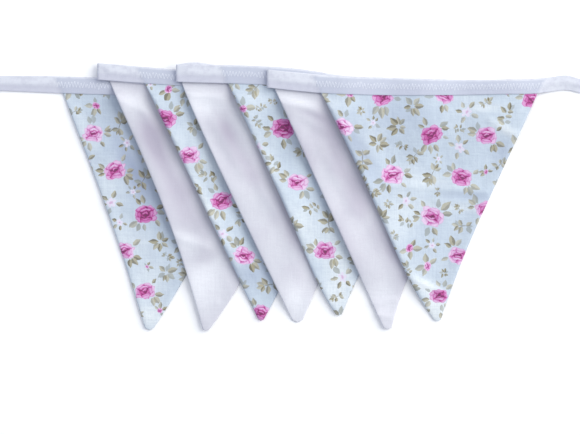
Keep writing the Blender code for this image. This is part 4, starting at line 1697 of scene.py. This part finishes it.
    def build(self, finish: bpy.types.Material) -> bpy.types.Object:
        """Make the tape's mesh and dress it.

        Args:
            finish: Its cotton.

        Returns:
            The finished piece.
        """
        section = self.section()
        rings: list[np.ndarray] = []
        layers: list[int] = []
        for layer in range(len(CUTS)):
            made = self.run_rings(layer, section)
            if layer < len(CUTS) - 1:
                made += self.turn_rings(layer, section)
            rings += made
            layers += [layer] * len(made)
        size = len(section)
        points = np.vstack(rings)
        starts = np.arange(len(rings) - 1)[:, None] * size
        index = np.arange(size)[None, :]
        following = (index + 1) % size
        ends = starts + size
        quads = np.stack([starts + index, starts + following, ends + following, ends + index], axis=-1)
        faces = quads.reshape(-1, 4).tolist()
        faces.append(list(range(size))[::-1])
        faces.append([len(points) - size + i for i in range(size)])
        piece = make_piece("tape_cloth", points.tolist(), faces, finish)
        inside = self.printed_inside(points, np.repeat(layers, size))
        write_values(piece.data, "printed_cloth_inside", inside)
        # Painted shade on the tape's lower half, left off along its last stretch to the right.
        painted_shade_lower_half = np.tile(fade(section[:, 0], self.lower_shade_to, self.lower_shade_fall), len(rings))
        painted_shade_lower_half *= fade(points[:, 0], self.lower_shade_end, self.lower_shade_end_fall)
        write_values(piece.data, "painted_shade_lower_half", painted_shade_lower_half)
        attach(piece, BODY)
        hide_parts("tape")
        return piece


@dataclass
class Stitching:
    """The zigzag line of machine stitches that closes the tape over each pennant."""

    pile: Pile
    tape: BiasTape
    pitch: float = 0.0013
    swing: float = 0.0054
    unevenness: float = 0.16
    centre: float = 0.02
    thickness: float = 0.00034
    sides: int = 5
    steps: int = 4
    sunk: float = 0.00022
    end_gap: float = 0.001

    def needle_holes(self, layer: int) -> np.ndarray:
        """Where the needle went through the tape, along one run."""
        run = self.pile.runs[layer]
        count = round((run.held_to - run.held_from - 2 * self.end_gap) / self.pitch)
        chance = np.random.default_rng(60 + layer)
        number = np.arange(count)
        steps = number + self.unevenness * chance.normal(size=count)
        x = run.held_from + self.end_gap + self.pitch * steps
        side = np.where(number % 2, 0.5, -0.5) * (1.0 + self.unevenness * chance.normal(size=count))
        return np.column_stack([x, run.middle(x) + self.centre * run.width(x) + side * self.swing])

    def surface(self, layer: int, x: np.ndarray, y: np.ndarray, upper: bool) -> np.ndarray:
        """The height of the tape's upper or lower face."""
        up, down = self.tape.leaf_levels(layer, x, y)
        middle = self.tape.middle(layer, x, y)
        if upper:
            return middle + up + LAYERS.leaf / 2
        return middle - down - LAYERS.leaf / 2

    def legs(self, layer: int, upper: bool) -> tuple[np.ndarray, np.ndarray]:
        """Tubes of thread, one for each stitch.

        Args:
            layer: The run, counted from the bottom.
            upper: Whether they lie on the run's upper face.

        Returns:
            The tubes' points and faces.
        """
        holes = self.needle_holes(layer)
        start, finish = holes[:-1], holes[1:]
        share = np.linspace(0.0, 1.0, self.steps + 1)
        path = start[:, None, :] + (finish - start)[:, None, :] * share[None, :, None]
        flat = path.reshape(-1, 2)
        level = self.surface(layer, flat[:, 0], flat[:, 1], upper).reshape(path.shape[:2])
        dip = self.sunk * (2 * share - 1.0) ** 4
        level = level - dip if upper else level + dip
        along = (finish - start) / np.linalg.norm(finish - start, axis=1)[:, None]
        beside = np.column_stack([-along[:, 1], along[:, 0]])
        angle = 2 * math.pi * np.arange(self.sides) / self.sides
        radius = self.thickness / 2
        x = path[:, :, None, 0] + beside[:, None, None, 0] * np.cos(angle) * radius
        y = path[:, :, None, 1] + beside[:, None, None, 1] * np.cos(angle) * radius
        z = level[:, :, None] + np.sin(angle) * radius + np.zeros_like(x)
        points = np.stack([x, y, z], axis=-1).reshape(-1, 3)
        leg = np.arange(len(start))[:, None, None] * (self.steps + 1) * self.sides
        ring = np.arange(self.steps)[None, :, None] * self.sides
        side = np.arange(self.sides)[None, None, :]
        following = (side + 1) % self.sides
        first = leg + ring
        second = first + self.sides
        faces = np.stack([first + side, first + following, second + following, second + side], axis=-1)
        return points, faces.reshape(-1, 4)

    def build(self, finish: bpy.types.Material) -> bpy.types.Object:
        """Make every stitch as one mesh and dress it.

        Args:
            finish: The thread.

        Returns:
            The finished piece.
        """
        points: list[np.ndarray] = []
        faces: list[np.ndarray] = []
        total = 0
        for layer in range(len(CUTS)):
            for upper in (True, False):
                more, joined = self.legs(layer, upper)
                points.append(more)
                faces.append(joined + total)
                total += len(more)
        piece = make_piece("tape_stitching", np.vstack(points).tolist(), np.vstack(faces).tolist(), finish)
        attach(piece, BODY)
        return piece


@dataclass(frozen=True)
class PaleTable:
    """The plain pale surface that the bunting lies on."""

    pale: tuple = srgb(254, 254, 255)
    half: float = 6.0
    level: float = -0.0002

    def material(self) -> bpy.types.Material:
        """The finish as a material."""
        graph = Graph("pale_table", roughness=0.9, sheen=0.0)
        return graph.paint(self.pale)

    def build(self) -> bpy.types.Object:
        """Make the surface."""
        sides = ((-1, -1), (1, -1), (1, 1), (-1, 1))
        corners = [(x * self.half, y * self.half, self.level) for x, y in sides]
        floor = make_piece("pale_table", corners, [(0, 1, 2, 3)], self.material())
        return floor


@dataclass
class Studio:
    """A camera straight above the bunting, soft light from the upper right, and a weak fill."""

    camera_height: float = 2.0
    centre: tuple[float, float] = (0.0, -0.0168)
    seen_width: float = 580 * PIXEL
    sensor: float = 36.0
    key_place: tuple[float, float, float] = (3.0, 1.2, 2.35)
    key_size: float = 4.0
    key_power: float = 171.0
    key_colour: tuple[float, float, float] = (1.02, 1.0, 0.92)
    fill_place: tuple[float, float, float] = (-0.5, 0.8, 1.8)
    fill_size: float = 1.4
    fill_power: float = 7.5
    fill_colour: tuple[float, float, float] = (0.95, 0.96, 1.0)
    ambient: float = 0.57
    ambient_colour: tuple[float, ...] = (0.84, 0.90, 1.035, 1.0)

    def light(self, name: str, place: tuple, size: float, power: float, colour: tuple) -> None:
        """Add a square soft light that faces the bunting.

        Args:
            name: What the light is called.
            place: Where it hangs.
            size: The length of its side.
            power: Its power in watts.
            colour: Its colour.
        """
        data = bpy.data.lights.new(name, "AREA")
        data.shape = "SQUARE"
        data.size = size
        data.energy = power
        data.color = colour
        lamp = bpy.data.objects.new(name, data)
        lamp.location = place
        lamp.rotation_euler = (-Vector(place)).to_track_quat("-Z", "Y").to_euler()
        bpy.context.scene.collection.objects.link(lamp)

    def build(self) -> None:
        """Set up the camera, the lights and the pale surroundings."""
        scene = bpy.context.scene
        data = bpy.data.cameras.new("camera")
        data.sensor_width = self.sensor
        data.lens = self.sensor * self.camera_height / self.seen_width
        camera = bpy.data.objects.new("camera", data)
        camera.location = (*self.centre, self.camera_height)
        scene.collection.objects.link(camera)
        scene.camera = camera
        scene.view_settings.view_transform = "Standard"
        world = bpy.data.worlds.new("surroundings")
        world.use_nodes = True
        background = world.node_tree.nodes["Background"]
        background.inputs["Color"].default_value = self.ambient_colour
        background.inputs["Strength"].default_value = self.ambient
        scene.world = world
        self.light("key_light", self.key_place, self.key_size, self.key_power, self.key_colour)
        self.light("fill_light", self.fill_place, self.fill_size, self.fill_power, self.fill_colour)


def main() -> None:
    """Build the bunting's pieces in the order in which they are made up, then the studio."""
    logging.basicConfig(level=logging.INFO, format="%(name)s: %(message)s")
    pile = Pile()
    cottons = {Cloth.FLORAL: FloralCotton().material(), Cloth.WHITE: WhiteCotton().material()}
    pieces = [Pennant(layer, pile).build(cottons[cut.cloth]) for layer, cut in enumerate(CUTS)]
    tape = BiasTape(pile)
    pieces.append(tape.build(TapeCotton().material()))
    pieces.append(Stitching(pile, tape).build(Thread().material()))
    for piece in pieces:
        LOG.info("%s has %d faces", piece.name, len(piece.data.polygons))
    PaleTable().build()
    Studio().build()


if __name__ == "__main__":
    main()
